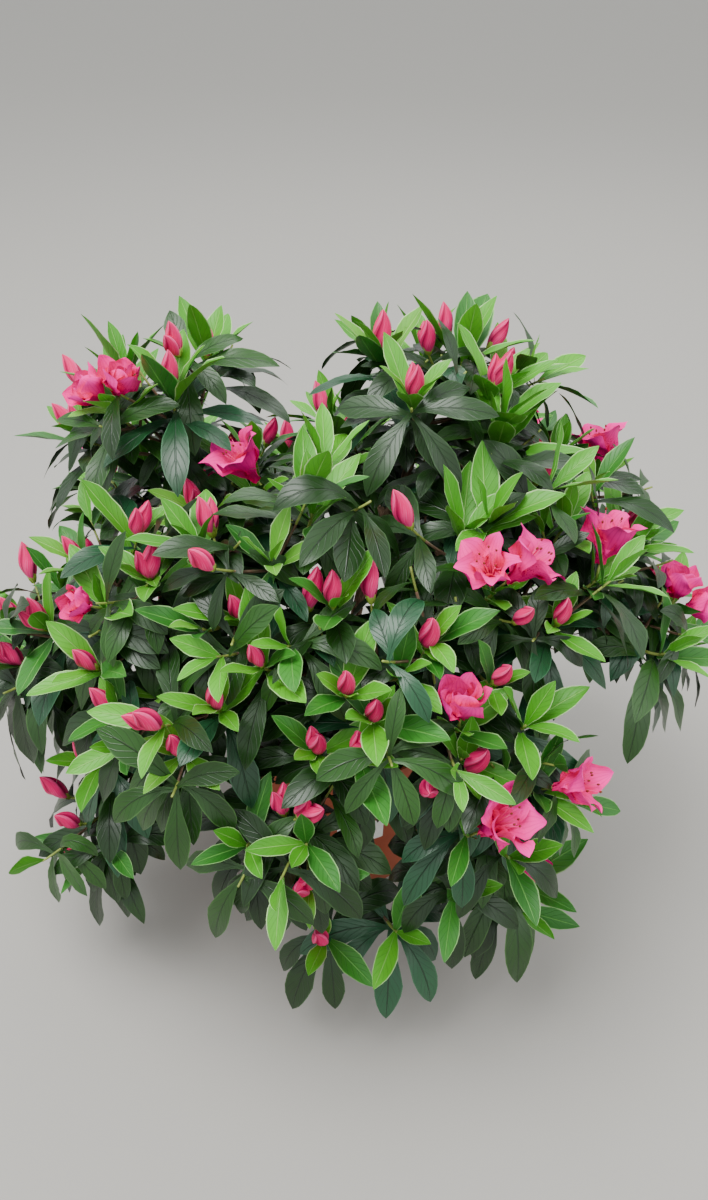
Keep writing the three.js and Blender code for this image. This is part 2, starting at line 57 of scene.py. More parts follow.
# Pot
# A nursery pot, moulded in one piece from thin terracotta-coloured plastic. A deeper band stiffens its mouth,
# and drain holes are pressed in its floor.
POT_HEIGHT = 0.172
POT_RIM_RADIUS = 0.105
POT_FOOT_RADIUS = 0.084
POT_WALL = 0.002
POT_LIP = 0.0035
BAND_DEPTH = 0.015
BAND_STEP = 0.0025
BAND_FOOT = POT_HEIGHT - BAND_DEPTH
POT_ROUNDING = 0.0009
ROUNDING_STEPS = 2
POT_SIDES = 96
DRAIN_HOLES = 6
DRAIN_RADIUS = 0.006
DRAIN_CIRCLE = 0.062
DRAIN_SIDES = 24
DRILL_DEPTH = 6 * POT_WALL
FACING_UP = 0.9
FACING_OUT = 0.5
SMOOTH_ANGLE = math.radians(32)
ROUGH_ANGLE = 2 * SMOOTH_ANGLE
FLOW_MARK_SIZE = 0.045
# The grain of a real mould is finer than this. It is drawn coarse enough to show.
GRAIN_SIZE = 0.0011
DUST_SPECK_SIZE = 0.006
DUST_HEIGHT = 0.06


def linear(shade):
    """A colour as written in sRGB hex, turned to the linear values that a shader takes."""
    levels = [int(shade[i : i + 2], 16) / 255 for i in (1, 3, 5)]
    return [c / 12.92 if c <= 0.04045 else ((c + 0.055) / 1.055) ** 2.4 for c in levels] + [1.0]


def add_node(tree, kind, inputs, stops=(), **settings):
    """One shader node with its settings and a ramp's stops. An input is a value, or a node and its output."""
    node = tree.nodes.new(kind)
    for name, value in settings.items():
        setattr(node, name, value)
    for i, (place_on_ramp, shade) in enumerate(stops):
        ramp = node.color_ramp.elements
        stop = ramp[i] if i < 2 else ramp.new(place_on_ramp)
        stop.position = place_on_ramp
        stop.color = linear(shade)
    for socket, source in inputs.items():
        if isinstance(source, tuple) and isinstance(source[0], bpy.types.Node):
            tree.links.new(source[0].outputs[source[1]], node.inputs[socket])
        else:
            node.inputs[socket].default_value = source
    return node


def new_material(name, roughness, specular=0.5):
    """An empty material, its node tree and its shader."""
    material = bpy.data.materials.new(name)
    material.use_nodes = True
    tree = material.node_tree
    shader = tree.nodes["Principled BSDF"]
    shader.inputs["Roughness"].default_value = roughness
    shader.inputs["Specular IOR Level"].default_value = specular
    return material, tree, shader


def pick_faces(piece, wanted):
    """Leaves the piece in edit mode with only the wanted faces selected."""
    bpy.ops.object.mode_set(mode="EDIT")
    bpy.ops.mesh.select_mode(type="FACE")
    bpy.ops.mesh.select_all(action="DESELECT")
    bpy.ops.object.mode_set(mode="OBJECT")
    for face in piece.data.polygons:
        face.select = wanted(face)
    bpy.ops.object.mode_set(mode="EDIT")


def faces_up(face):
    """Whether a face lies flat and looks up."""
    return face.normal.z > FACING_UP


def is_band(face):
    """Whether a face is on the outside of the pot's mouth, above the foot of its band."""
    outwards = face.normal.x * face.center.x + face.normal.y * face.center.y > 0
    return face.center.z > BAND_FOOT and abs(face.normal.z) < FACING_OUT and outwards


def place(piece, slot, *nodes):
    """The finished piece rides on the plant and may stand for CAD nodes. Its slot is not used."""
    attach(piece, "root")
    if nodes:
        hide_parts(*nodes)


def terracotta_plastic():
    """Moulded plastic, satin, with faint flow marks and soil dust towards the foot."""
    material, tree, shader = new_material("terracotta_plastic_moulded", roughness=0.5)
    spot = add_node(tree, "ShaderNodeTexCoord", {})
    at = (spot, "Object")
    flow = add_node(tree, "ShaderNodeTexNoise", {"Vector": at, "Scale": 1 / FLOW_MARK_SIZE, "Detail": 4.0})
    plain = add_node(tree, "ShaderNodeValToRGB", {"Fac": (flow, "Fac")}, [(0.3, "#8F3F22"), (0.7, "#A84D2C")])
    height = add_node(tree, "ShaderNodeSeparateXYZ", {"Vector": at})
    speck = add_node(tree, "ShaderNodeTexNoise", {"Vector": at, "Scale": 1 / DUST_SPECK_SIZE, "Detail": 6.0})
    low = add_node(
        tree,
        "ShaderNodeMapRange",
        {"Value": (height, "Z"), "From Min": DUST_HEIGHT, "From Max": 0.0, "To Min": 0.0, "To Max": 0.6},
    )
    dust = add_node(tree, "ShaderNodeMath", {0: (low, "Result"), 1: (speck, "Fac")}, operation="MULTIPLY")
    dusty = add_node(
        tree,
        "ShaderNodeMix",
        {"Factor": (dust, "Value"), "A": (plain, "Color"), "B": linear("#6B4A38")},
        data_type="RGBA",
    )
    tree.links.new(dusty.outputs["Result"], shader.inputs["Base Color"])
    grain = add_node(tree, "ShaderNodeTexNoise", {"Vector": at, "Scale": 1 / GRAIN_SIZE, "Detail": 2.0})
    bump = add_node(tree, "ShaderNodeBump", {"Height": (grain, "Fac"), "Strength": 0.12, "Distance": 0.0004})
    tree.links.new(bump.outputs["Normal"], shader.inputs["Normal"])
    return material


bpy.ops.object.select_all(action="DESELECT")
bpy.ops.mesh.primitive_cone_add(
    vertices=POT_SIDES,
    radius1=POT_FOOT_RADIUS,
    radius2=POT_RIM_RADIUS,
    depth=POT_HEIGHT,
    location=(0, 0, POT_HEIGHT / 2),
)
pot = bpy.context.active_object
pot.name = "pot_shell"
bpy.ops.object.transform_apply(location=True, rotation=True, scale=True)
pick_faces(pot, faces_up)
bpy.ops.mesh.inset(thickness=POT_LIP)
bpy.ops.mesh.extrude_region_move(TRANSFORM_OT_translate={"value": (0, 0, POT_WALL - POT_HEIGHT)})
inner_foot = (POT_FOOT_RADIUS - POT_WALL) / (POT_RIM_RADIUS - POT_LIP)
bpy.ops.transform.resize(value=(inner_foot, inner_foot, 1))
bpy.ops.mesh.select_all(action="SELECT")
bpy.ops.mesh.bisect(plane_co=(0, 0, BAND_FOOT), plane_no=(0, 0, 1))
pick_faces(pot, is_band)
bpy.ops.mesh.extrude_region_shrink_fatten(TRANSFORM_OT_shrink_fatten={"value": BAND_STEP})
bpy.ops.object.mode_set(mode="OBJECT")
rounding = pot.modifiers.new("rounding", "BEVEL")
rounding.width = POT_ROUNDING
rounding.segments = ROUNDING_STEPS
rounding.limit_method = "ANGLE"
bpy.ops.object.modifier_apply(modifier=rounding.name)
for i in range(DRAIN_HOLES):
    turn = i * math.tau / DRAIN_HOLES
    bpy.ops.object.select_all(action="DESELECT")
    bpy.ops.mesh.primitive_cylinder_add(
        vertices=DRAIN_SIDES,
        radius=DRAIN_RADIUS,
        depth=DRILL_DEPTH,
        location=(DRAIN_CIRCLE * math.cos(turn), DRAIN_CIRCLE * math.sin(turn), 0),
    )
    drill = bpy.context.active_object
    hole = pot.modifiers.new("hole", "BOOLEAN")
    hole.operation = "DIFFERENCE"
    hole.object = drill
    bpy.context.view_layer.objects.active = pot
    bpy.ops.object.modifier_apply(modifier=hole.name)
    bpy.data.objects.remove(drill)
bpy.ops.object.select_all(action="DESELECT")
pot.select_set(True)
bpy.ops.object.shade_smooth_by_angle(angle=SMOOTH_ANGLE)
pot.data.materials.append(terracotta_plastic())
place(pot, "pot_plastic", "pot")

# Sticker
# A small white paper sticker, left blank, glued flat to the front of the pot's wall.
STICKER_WIDTH = 0.044
STICKER_HEIGHT = 0.028
STICKER_MIDDLE = 0.092
STICKER_TURN = math.radians(282)
STICKER_THICKNESS = 0.00015
STICKER_COLUMNS = 20
STICKER_ROWS = 10
PAPER_WAVE_SIZE = 0.014


def pot_radius(height):
    """The outside radius of the pot's wall at a height."""
    return POT_FOOT_RADIUS + (POT_RIM_RADIUS - POT_FOOT_RADIUS) * height / POT_HEIGHT


def white_paper():
    """Coated label paper, a little uneven where it lies on the plastic."""
    material, tree, shader = new_material("white_paper_coated", roughness=0.4)
    spot = add_node(tree, "ShaderNodeTexCoord", {})
    at = (spot, "Object")
    wave = add_node(tree, "ShaderNodeTexNoise", {"Vector": at, "Scale": 1 / PAPER_WAVE_SIZE, "Detail": 3.0})
    tone = add_node(tree, "ShaderNodeValToRGB", {"Fac": (wave, "Fac")}, [(0.3, "#E4E2DC"), (0.7, "#F4F3EF")])
    tree.links.new(tone.outputs["Color"], shader.inputs["Base Color"])
    bump = add_node(tree, "ShaderNodeBump", {"Height": (wave, "Fac"), "Strength": 0.2, "Distance": 0.0003})
    tree.links.new(bump.outputs["Normal"], shader.inputs["Normal"])
    return material


bpy.ops.object.select_all(action="DESELECT")
bpy.ops.mesh.primitive_grid_add(x_subdivisions=STICKER_COLUMNS, y_subdivisions=STICKER_ROWS, size=1)
sticker = bpy.context.active_object
sticker.name = "blank_sticker"
for corner in sticker.data.vertices:
    height = STICKER_MIDDLE + corner.co.y * STICKER_HEIGHT
    radius = pot_radius(height) + STICKER_THICKNESS
    turn = STICKER_TURN + corner.co.x * STICKER_WIDTH / radius
    corner.co = (radius * math.cos(turn), radius * math.sin(turn), height)
backing = sticker.modifiers.new("backing", "SOLIDIFY")
backing.thickness = STICKER_THICKNESS
backing.offset = 1
bpy.ops.object.modifier_apply(modifier=backing.name)
bpy.ops.object.shade_smooth_by_angle(angle=SMOOTH_ANGLE)
sticker.data.materials.append(white_paper())
place(sticker, "pot_plastic")

# Potting soil
# Dark, damp, crumbly peat that fills the pot to a little below its rim and swells towards the trunk.
SOIL_EDGE_HEIGHT = 0.150
SOIL_CENTRE_HEIGHT = 0.156
SOIL_GAP = 0.0003
SOIL_RINGS = 16
SOIL_RINGS_SPREAD = 0.9
LUMP_SIZE = 0.017
LUMP_HEIGHT = 0.0016
LUMP_LAYERS = 4
LAYER_FADE = 1.0
LAYER_RATIO = 2.0
SOIL_CRUMBS = 420
CRUMB_SIZE = (0.0012, 0.0042)
CRUMB_SHRINK = (0.6, 1.0)
CRUMB_LIFT = 0.2
CRUMB_POINTS = np.array([[1, 0, 0], [-1, 0, 0], [0, 1, 0], [0, -1, 0], [0, 0, 0.7], [0, 0, -0.7]])
CRUMB_FACES = [(0, 2, 4), (2, 1, 4), (1, 3, 4), (3, 0, 4), (2, 0, 5), (1, 2, 5), (3, 1, 5), (0, 3, 5)]
CRUMB_SEED = 9001
PEAT_FIBRE_SIZE = 0.0042
RANDOM_MODULUS = 2147483647
RANDOM_MULTIPLIER = 48271
SEED_MULTIPLIER = 7919
SEED_OFFSET = 12345


def make_random(seed):
    """Repeatable random numbers from 0 to 1, the same run of them as in the part's source."""
    state = (seed * SEED_MULTIPLIER + SEED_OFFSET) % RANDOM_MODULUS

    def random():
        nonlocal state
        state = (state * RANDOM_MULTIPLIER) % RANDOM_MODULUS
        return state / RANDOM_MODULUS

    return random


def mix(a, b, share):
    """The value at a share of the way from one to another."""
    return a + (b - a) * share


def between(limits, random):
    """A random value between two limits."""
    return mix(limits[0], limits[1], random())


class Pile:
    """The corners and faces of many small things, which become one mesh."""

    def __init__(self):
        self.corners = []
        self.faces = []
        self.marks = []
        self.count = 0

    def add(self, corners, faces, marks):
        """Corners are rows of x, y, z. Marks are their places in the pattern."""
        self.corners.append(corners)
        self.marks.append(marks)
        self.faces.extend([tuple(self.count + i for i in face) for face in faces])
        self.count += len(corners)

    def piece(self, name, material):
        """One smooth object of everything in the pile, with its pattern's map and its material."""
        mesh = bpy.data.meshes.new(name)
        mesh.from_pydata(np.concatenate(self.corners).tolist(), [], self.faces)
        order = np.zeros(len(mesh.loops), dtype=np.int32)
        mesh.loops.foreach_get("vertex_index", order)
        pattern = mesh.uv_layers.new(name="pattern")
        pattern.data.foreach_set("uv", np.concatenate(self.marks)[order].astype(np.float32).ravel())
        mesh.polygons.foreach_set("use_smooth", np.ones(len(mesh.polygons), dtype=bool))
        mesh.materials.append(material)
        made = bpy.data.objects.new(name, mesh)
        bpy.context.scene.collection.objects.link(made)
        return made


def peat():
    """Damp peat with paler fibres in it."""
    material, tree, shader = new_material("peat_damp_crumbled", roughness=0.85)
    spot = add_node(tree, "ShaderNodeTexCoord", {})
    at = (spot, "Object")
    fibre = add_node(tree, "ShaderNodeTexNoise", {"Vector": at, "Scale": 1 / PEAT_FIBRE_SIZE, "Detail": 8.0})
    tones = [(0.32, "#1B120C"), (0.6, "#3A2A1E"), (0.72, "#5C4633")]
    tone = add_node(tree, "ShaderNodeValToRGB", {"Fac": (fibre, "Fac")}, tones)
    tree.links.new(tone.outputs["Color"], shader.inputs["Base Color"])
    bump = add_node(tree, "ShaderNodeBump", {"Height": (fibre, "Fac"), "Strength": 0.9, "Distance": 0.002})
    tree.links.new(bump.outputs["Normal"], shader.inputs["Normal"])
    return material


def soil_height(x, y):
    """The lumpy top of the soil."""
    away = math.hypot(x, y) / pot_radius(SOIL_EDGE_HEIGHT)
    lumps = noise.fractal(Vector((x, y, 0)) / LUMP_SIZE, LAYER_FADE, LAYER_RATIO, LUMP_LAYERS)
    return mix(SOIL_CENTRE_HEIGHT, SOIL_EDGE_HEIGHT, away) + LUMP_HEIGHT * lumps


bpy.ops.object.select_all(action="DESELECT")
soil_floor = POT_WALL + SOIL_GAP
soil_radius = pot_radius(SOIL_EDGE_HEIGHT) - POT_WALL - SOIL_GAP
bpy.ops.mesh.primitive_cone_add(
    vertices=POT_SIDES,
    radius1=pot_radius(soil_floor) - POT_WALL - SOIL_GAP,
    radius2=soil_radius,
    depth=SOIL_EDGE_HEIGHT - soil_floor,
    location=(0, 0, (SOIL_EDGE_HEIGHT + soil_floor) / 2),
)
soil = bpy.context.active_object
soil.name = "peat_soil"
bpy.ops.object.transform_apply(location=True, rotation=True, scale=True)
pick_faces(soil, faces_up)
for ring in range(SOIL_RINGS):
    bpy.ops.mesh.inset(thickness=SOIL_RINGS_SPREAD * soil_radius / SOIL_RINGS)
bpy.ops.object.mode_set(mode="OBJECT")
for corner in soil.data.vertices:
    if corner.co.z > SOIL_EDGE_HEIGHT - SOIL_GAP:
        corner.co.z = soil_height(corner.co.x, corner.co.y)
bpy.ops.object.shade_smooth_by_angle(angle=ROUGH_ANGLE)
soil_finish = peat()
soil.data.materials.append(soil_finish)
place(soil, "peat_soil", "soil")

crumbs = Pile()
random = make_random(CRUMB_SEED)
for _ in range(SOIL_CRUMBS):
    away = (soil_radius - CRUMB_SIZE[1]) * math.sqrt(random())
    turn = math.tau * random()
    size = mix(*CRUMB_SIZE, random() ** 2)
    x, y = away * math.cos(turn), away * math.sin(turn)
    middle = np.array([x, y, soil_height(x, y) + CRUMB_LIFT * size])
    points = CRUMB_POINTS * np.array([[between(CRUMB_SHRINK, random)] for _ in CRUMB_POINTS])
    crumbs.add(middle + size * points, CRUMB_FACES, np.zeros((len(CRUMB_POINTS), 2)))
place(crumbs.piece("peat_crumbs", soil_finish), "peat_soil")

# Trunk and boughs
# Living wood under thin grey-brown bark. The short trunk stands in the soil on a flare of roots, and its
# knuckle parts into crooked boughs, which fork again before they reach the leaves.
MM = 0.001
UP = np.array([0.0, 0.0, 1.0])
ASKEW = np.array([0.31, 0.94, 0.11])
TRUNK_FOOT = SOIL_CENTRE_HEIGHT + SOIL_GAP
TRUNK_TOP = 0.208
TRUNK_LEAN = 0.006
# Each ring of the trunk is a share of its height and the radius there.
TRUNK_RINGS = [(0, 0.025), (0.08, 0.022), (0.18, 0.019), (0.45, 0.015), (0.8, 0.018), (0.9, 0.017), (1, 0.01)]
TRUNK_SIDES = 64
TRUNK_STEPS = 36
TRUNK_RELIEF = 0.10
ROOT_FLUTES = 5
ROOT_FLUTE_DEPTH = 0.12
MAIN_BOUGH_RADIUS = 0.0055
SIDE_BOUGH_RADIUS = 0.0040
BOUGH_TIP_RADIUS = 0.0024
BOUGH_SIDES = 12
BOUGH_STEP = 0.003
BOUGH_RELIEF = 0.16
FEWEST_STEPS = 8
LENGTH_STEPS = 20
# Each wave of a bough's crook has the angle that it runs through, in radians, and its strength.
CROOK_WAVES = [(9, 1.0), (23, 0.5)]
CROOK_ASIDE = 0.0035
CROOK_LIFT = 0.0025
FORK_RING = 0.008
FORK_LOWEST = 0.5
FORK_HIGHEST = 0.9
SIDE_BOUGH_START = 0.5
EARLY_SPREAD = 0.28
EARLY_RISE = 0.5
LATE_SPREAD = 0.72
LATE_RISE = 0.78
LOW_MASS_HEIGHT = 210
LOW_ARCH = 0.045
HIGH_ARCH = 0.008
CROWN_HEART = np.array([0.0, -0.020, 0.215])
LEAST_RISE = 0.18
FORK_DEPTH = 0.048
BARK_FLAKE_SIZE = 0.0077
BARK_LAYERS = 3
FURROW_WIDTH = 0.0013
FURROW_LENGTH = 0.010
MOSS_SIZE = 0.011

# Each row is a bough, what it springs from, and the mass of leaves at its end: the heading in degrees, the
# reach from the pot's axis and the height in millimetres, the number of shoots, and how many of them flower.
BOUGHS = [
    ("left_peak", "trunk", 180, 162, 488, 5, 1),
    ("right_peak", "trunk", 6, 90, 510, 7, 0),
    ("front_upper", "trunk", 268, 218, 388, 6, 0),
    ("left_mid", "trunk", 217, 214, 400, 4, 1),
    ("right_front", "trunk", 319, 227, 410, 3, 1),
    ("front_right", "trunk", 296, 276, 300, 5, 2),
    ("right_back", "trunk", 39, 216, 362, 5, 1),
    ("back", "trunk", 81, 195, 296, 5, 1),
    ("left_side", "trunk", 176, 268, 240, 5, 0),
    ("low_front", "trunk", 276, 240, 144, 2, 0),
    ("saddle", "left_peak", 214, 70, 438, 4, 1),
    ("left_back", "left_peak", 154, 216, 362, 5, 1),
    ("back_top", "right_peak", 73, 104, 405, 4, 0),
    ("right_shoulder", "right_peak", 325, 158, 458, 3, 0),
    ("centre_left", "front_upper", 248, 162, 448, 4, 0),
    ("centre_front", "right_front", 297, 196, 418, 4, 1),
    ("front_mid", "front_upper", 263, 262, 290, 4, 0),
    ("front_centre", "front_upper", 286, 240, 362, 4, 1),
    ("left_front", "left_mid", 241, 250, 338, 3, 0),
    ("left_far", "left_mid", 201, 268, 320, 4, 0),
    ("right_upper", "right_front", 357, 218, 402, 4, 1),
    ("right_far", "right_front", 341, 272, 350, 4, 1),
    ("right_skirt", "front_right", 299, 262, 190, 4, 1),
    ("right_side", "right_back", 15, 272, 280, 5, 1),
    ("back_right_skirt", "right_back", 49, 224, 190, 4, 0),
    ("back_left", "back", 122, 188, 316, 5, 1),
    ("left_skirt", "left_side", 214, 262, 192, 4, 0),
    ("back_left_skirt", "left_side", 137, 228, 172, 4, 0),
]
HEIGHTS = [row[4] for row in BOUGHS]


def unit(direction):
    """The same direction with a length of 1."""
    return direction / np.linalg.norm(direction)


def way(shares, *directions):
    """The direction that others make together, each by its share."""
    return unit(sum(share * direction for share, direction in zip(shares, directions)))


def around(turn, first, second):
    """A direction turned by an angle from the first of two square ones towards the second."""
    return math.cos(turn) * first + math.sin(turn) * second


def square_part(target, along):
    """The part of a direction that is square to a line, made a direction of its own."""
    return unit(target - along * np.dot(target, along))


def frame_round(axis):
    """Two directions square to an axis and to each other."""
    above = square_part(ASKEW, axis)
    return above, np.cross(axis, above)


def share_of_way(value, low, high):
    """How far a value is on its way from low to high, never below 0 or above 1."""
    return min(max((value - low) / (high - low), 0), 1)


def trunk_centre(share):
    """A point on the trunk's line, which leans over a little more the higher it goes."""
    return np.array([-TRUNK_LEAN * share * share, 0.0, mix(TRUNK_FOOT, TRUNK_TOP, share)])


def trunk_radius(share, turn):
    """The trunk's radius, with the ridges of its roots, which fade out upwards."""
    radius = np.interp(share, [ring[0] for ring in TRUNK_RINGS], [ring[1] for ring in TRUNK_RINGS])
    return radius * (1 + ROOT_FLUTE_DEPTH * (1 - share) ** 3 * math.cos(ROOT_FLUTES * turn))


def bark_swell(point, relief):
    """How far the bark stands out at a point, as a factor of the limb's radius."""
    flakes = noise.fractal(Vector(point) / BARK_FLAKE_SIZE, LAYER_FADE, LAYER_RATIO, BARK_LAYERS)
    return 1 + relief * flakes


def mass_plan(heading, reach, height):
    """The middle of a mass of leaves, the way it faces and the point where its stem forks."""
    turn = math.radians(heading)
    middle = np.array([reach * math.cos(turn), reach * math.sin(turn), height]) * MM
    facing = middle - CROWN_HEART
    facing[2] = max(facing[2], LEAST_RISE * math.hypot(facing[0], facing[1]))
    facing = unit(facing)
    return middle, facing, middle - FORK_DEPTH * facing


class Limb:
    """The crooked line of one bough, from where it springs to the fork of its mass."""

    def __init__(self, number, start, end, arch):
        span = end - start
        flat = span * (1, 1, 0)
        first = start + flat * EARLY_SPREAD + UP * (max(span[2], 0) * EARLY_RISE + arch)
        second = start + flat * LATE_SPREAD + UP * (span[2] * LATE_RISE + arch)
        self.corners = [start, first, second, end]
        self.beside = unit(np.cross(UP, flat))
        stations = np.array([self.smooth(t) for t in np.linspace(0, 1, LENGTH_STEPS + 1)])
        self.length = np.linalg.norm(np.diff(stations, axis=0), axis=1).sum()
        random = make_random(number)
        self.phases = [math.tau * random() for _ in range(2 * len(CROOK_WAVES))]

    def smooth(self, t):
        """A point on the line before its crook is added, from 0 at its root to 1 at its fork."""
        a, b, c, d = self.corners
        return a * (1 - t) ** 3 + 3 * b * t * (1 - t) ** 2 + 3 * c * t * t * (1 - t) + d * t**3

    def point(self, t):
        """A point on the crooked line."""
        waves = [
            strength * math.sin(angle * t + phase)
            for (angle, strength), phase in zip(CROOK_WAVES + CROOK_WAVES, self.phases)
        ]
        half = len(CROOK_WAVES)
        crook = CROOK_ASIDE * sum(waves[:half]) * self.beside + CROOK_LIFT * sum(waves[half:]) * UP
        return self.smooth(t) + math.sin(math.pi * t) * crook


def grey_bark():
    """Thin bark, furrowed lengthwise, with paler flakes and a trace of green."""
    material, tree, shader = new_material("bark_grey_furrowed", roughness=0.85, specular=0.3)
    spot = add_node(tree, "ShaderNodeTexCoord", {})
    fine = (1 / FURROW_WIDTH, 1 / FURROW_LENGTH, 1.0)
    along = add_node(tree, "ShaderNodeMapping", {"Vector": (spot, "UV"), "Scale": fine})
    furrow = add_node(tree, "ShaderNodeTexNoise", {"Vector": (along, "Vector"), "Scale": 1.0, "Detail": 6.0})
    tones = [(0.3, "#3E2C20"), (0.5, "#6B5340"), (0.7, "#93806A")]
    wood = add_node(tree, "ShaderNodeValToRGB", {"Fac": (furrow, "Fac")}, tones)
    at = (spot, "Object")
    patch = add_node(tree, "ShaderNodeTexNoise", {"Vector": at, "Scale": 1 / MOSS_SIZE, "Detail": 3.0})
    moss = add_node(
        tree,
        "ShaderNodeMapRange",
        {"Value": (patch, "Fac"), "From Min": 0.56, "From Max": 0.72, "To Min": 0.0, "To Max": 0.35},
    )
    mossy = add_node(
        tree,
        "ShaderNodeMix",
        {"Factor": (moss, "Result"), "A": (wood, "Color"), "B": linear("#6A7350")},
        data_type="RGBA",
    )
    tree.links.new(mossy.outputs["Result"], shader.inputs["Base Color"])
    bump = add_node(tree, "ShaderNodeBump", {"Height": (furrow, "Fac"), "Strength": 0.8, "Distance": 0.0012})
    tree.links.new(bump.outputs["Normal"], shader.inputs["Normal"])
    return material


def tube_faces(rings, sides):
    """The four-sided faces between rings of corners."""
    faces = []
    for i in range(rings - 1):
        for k in range(sides):
            a, b = i * sides + k, i * sides + (k + 1) % sides
            faces.append((a, b, b + sides, a + sides))
    return faces


def add_limb(pile, line, radii, sides, relief):
    """A closed round limb through the points of a line, with bark relief worked into its corners."""
    line = np.array(line)
    tangents = np.gradient(line, axis=0)
    above = ASKEW
    corners = []
    marks = []
    run = 0.0
    for i, (centre, tangent, radius) in enumerate(zip(line, tangents, radii)):
        tangent = unit(tangent)
        above = square_part(above, tangent)
        beside = np.cross(tangent, above)
        run += np.linalg.norm(centre - line[max(i - 1, 0)])
        for k in range(sides):
            out = radius * around(k * math.tau / sides, above, beside)
            corners.append(centre + out * bark_swell(centre + out, relief))
            marks.append((abs(k / sides - 0.5) * math.tau * radius, run))
    faces = tube_faces(len(line), sides)
    first = len(corners)
    last = first - sides
    corners += [line[0], line[-1]]
    marks += [(0, 0), (0, run)]
    for k in range(sides):
        faces.append((first, (k + 1) % sides, k))
        faces.append((first + 1, last + k, last + (k + 1) % sides))
    pile.add(np.array(corners), faces, np.array(marks, dtype=float))


bpy.ops.object.select_all(action="DESELECT")
bpy.ops.mesh.primitive_cylinder_add(
    vertices=TRUNK_SIDES,
    radius=TRUNK_RINGS[0][1],
    depth=TRUNK_TOP - TRUNK_FOOT,
    location=(0, 0, (TRUNK_TOP + TRUNK_FOOT) / 2),
)
trunk = bpy.context.active_object
trunk.name = "trunk_bark"
bpy.ops.object.transform_apply(location=True, rotation=True, scale=True)
bpy.ops.object.mode_set(mode="EDIT")
for i in range(1, TRUNK_STEPS):
    bpy.ops.mesh.select_all(action="SELECT")
    bpy.ops.mesh.bisect(plane_co=(0, 0, mix(TRUNK_FOOT, TRUNK_TOP, i / TRUNK_STEPS)), plane_no=(0, 0, 1))
bpy.ops.object.mode_set(mode="OBJECT")
pattern = trunk.data.uv_layers.active
for loop in trunk.data.loops:
    x, y, z = trunk.data.vertices[loop.vertex_index].co
    pattern.data[loop.index].uv = (abs(math.atan2(y, x)) * TRUNK_RINGS[0][1], z)
for corner in trunk.data.vertices:
    share = (corner.co.z - TRUNK_FOOT) / (TRUNK_TOP - TRUNK_FOOT)
    turn = math.atan2(corner.co.y, corner.co.x)
    centre = trunk_centre(share)
    out = trunk_radius(share, turn) * np.array([math.cos(turn), math.sin(turn), 0.0])
    corner.co = centre + out * bark_swell(centre + out, TRUNK_RELIEF)
bpy.ops.object.shade_smooth_by_angle(angle=ROUGH_ANGLE)
bark = grey_bark()
trunk.data.materials.append(bark)
place(trunk, "bark", "trunk")

wood = Pile()
plans = {}
limbs = {}
for number, (name, source, heading, reach, height, _, _) in enumerate(BOUGHS):
    plans[name] = mass_plan(heading, reach, height)
    fork = plans[name][2]
    if source == "trunk":
        lift = share_of_way(height, min(HEIGHTS), max(HEIGHTS))
        start = trunk_centre(mix(FORK_LOWEST, FORK_HIGHEST, lift)) + FORK_RING * unit(fork * (1, 1, 0))
        root_radius = MAIN_BOUGH_RADIUS
    else:
        start = limbs[source].point(SIDE_BOUGH_START)
        root_radius = SIDE_BOUGH_RADIUS
    limb = Limb(number + 1, start, fork, LOW_ARCH if height < LOW_MASS_HEIGHT else HIGH_ARCH)
    limbs[name] = limb
    steps = max(FEWEST_STEPS, round(limb.length / BOUGH_STEP))
    line = [limb.point(i / steps) for i in range(steps + 1)]
    add_limb(wood, line, np.linspace(root_radius, BOUGH_TIP_RADIUS, steps + 1), BOUGH_SIDES, BOUGH_RELIEF)
place(wood.piece("boughs_bark", bark), "bark", *["bough_" + row[0] for row in BOUGHS])

# Shoots
# Each bough forks into thin shoots, brown and woody at first and green near the tip. Shorter side shoots part
# from them, and every shoot ends in a whorl of leaves. A few bare crooked twigs are left inside the crown.
SHOOT_SPREAD = 0.064
SHOOT_CROWDING = 4
CROWN_ROUNDING = 0.260
SHOOT_STEP = 0.007
SHOOTS_SPAN = 0.4
SHOOT_RISE = 1.5
SHOOT_NECK = 0.019
SHOOT_REACH_RANGE = 0.1
SHORTEST_DRAW = 0.55
DRAW_STEP = 0.09
SPACE_SHARED = 0.010
SEEDS_A_MASS = 100
BUD_SHARE = 0.55
GOLDEN_ANGLE = math.pi * (3 - math.sqrt(5))
TURN_WANDER = 0.8
SIDE_SHOOTS = 2
SIDE_SHOOT_LENGTH = 0.040
SIDE_SHOOT_RANGE = (0.85, 1.25)
SIDE_SHOOT_ROOTS = (0.35, 0.70)
SIDE_SHOOT_WAY = (0.70, 0.80, 0.25)
SIDE_SHOOT_STANCE = 0.012
SIDE_SHOOT_TURN = (1, 0.3)
SIDE_NECK_SHARE = 0.5
SIDE_BUD_SHARE = 0.12
LOW_SIDE_SHARE = 0.25
INNER_SHOOTS = 4
INNER_SHOOT_LENGTH = 0.045
INNER_SHOOT_RANGE = (0.7, 1.3)
INNER_SHOOT_ROOTS = (0.55, 0.95)
INNER_SHOOT_WAY = (0.8, 0.5, 0.6)
INNER_NECK_SHARE = 0.4
LOW_CROWN = 0.20
HIGH_CROWN = 0.45
LOWEST_TIP = 0.05
SHOOT_ROOT_RADIUS = 0.0017
SHOOT_TIP_RADIUS = 0.0011
SIDE_SLIMNESS = 0.75
SHOOT_SIDES = 6
GREEN_SHARE = 0.4
GREEN_LAP = 0.02
BROWN_STEPS = 7
GREEN_STEPS = 6
BROWN_RELIEF = 0.12
GREEN_RELIEF = 0.05
BLOTCH_SIZE = 0.008
BARE_TWIGS = 4
BARE_TWIG_ROOTS = (0.35, 0.9)
BARE_TWIG_STEPS = 7
BARE_TWIG_STEP = (0.005, 0.0095)
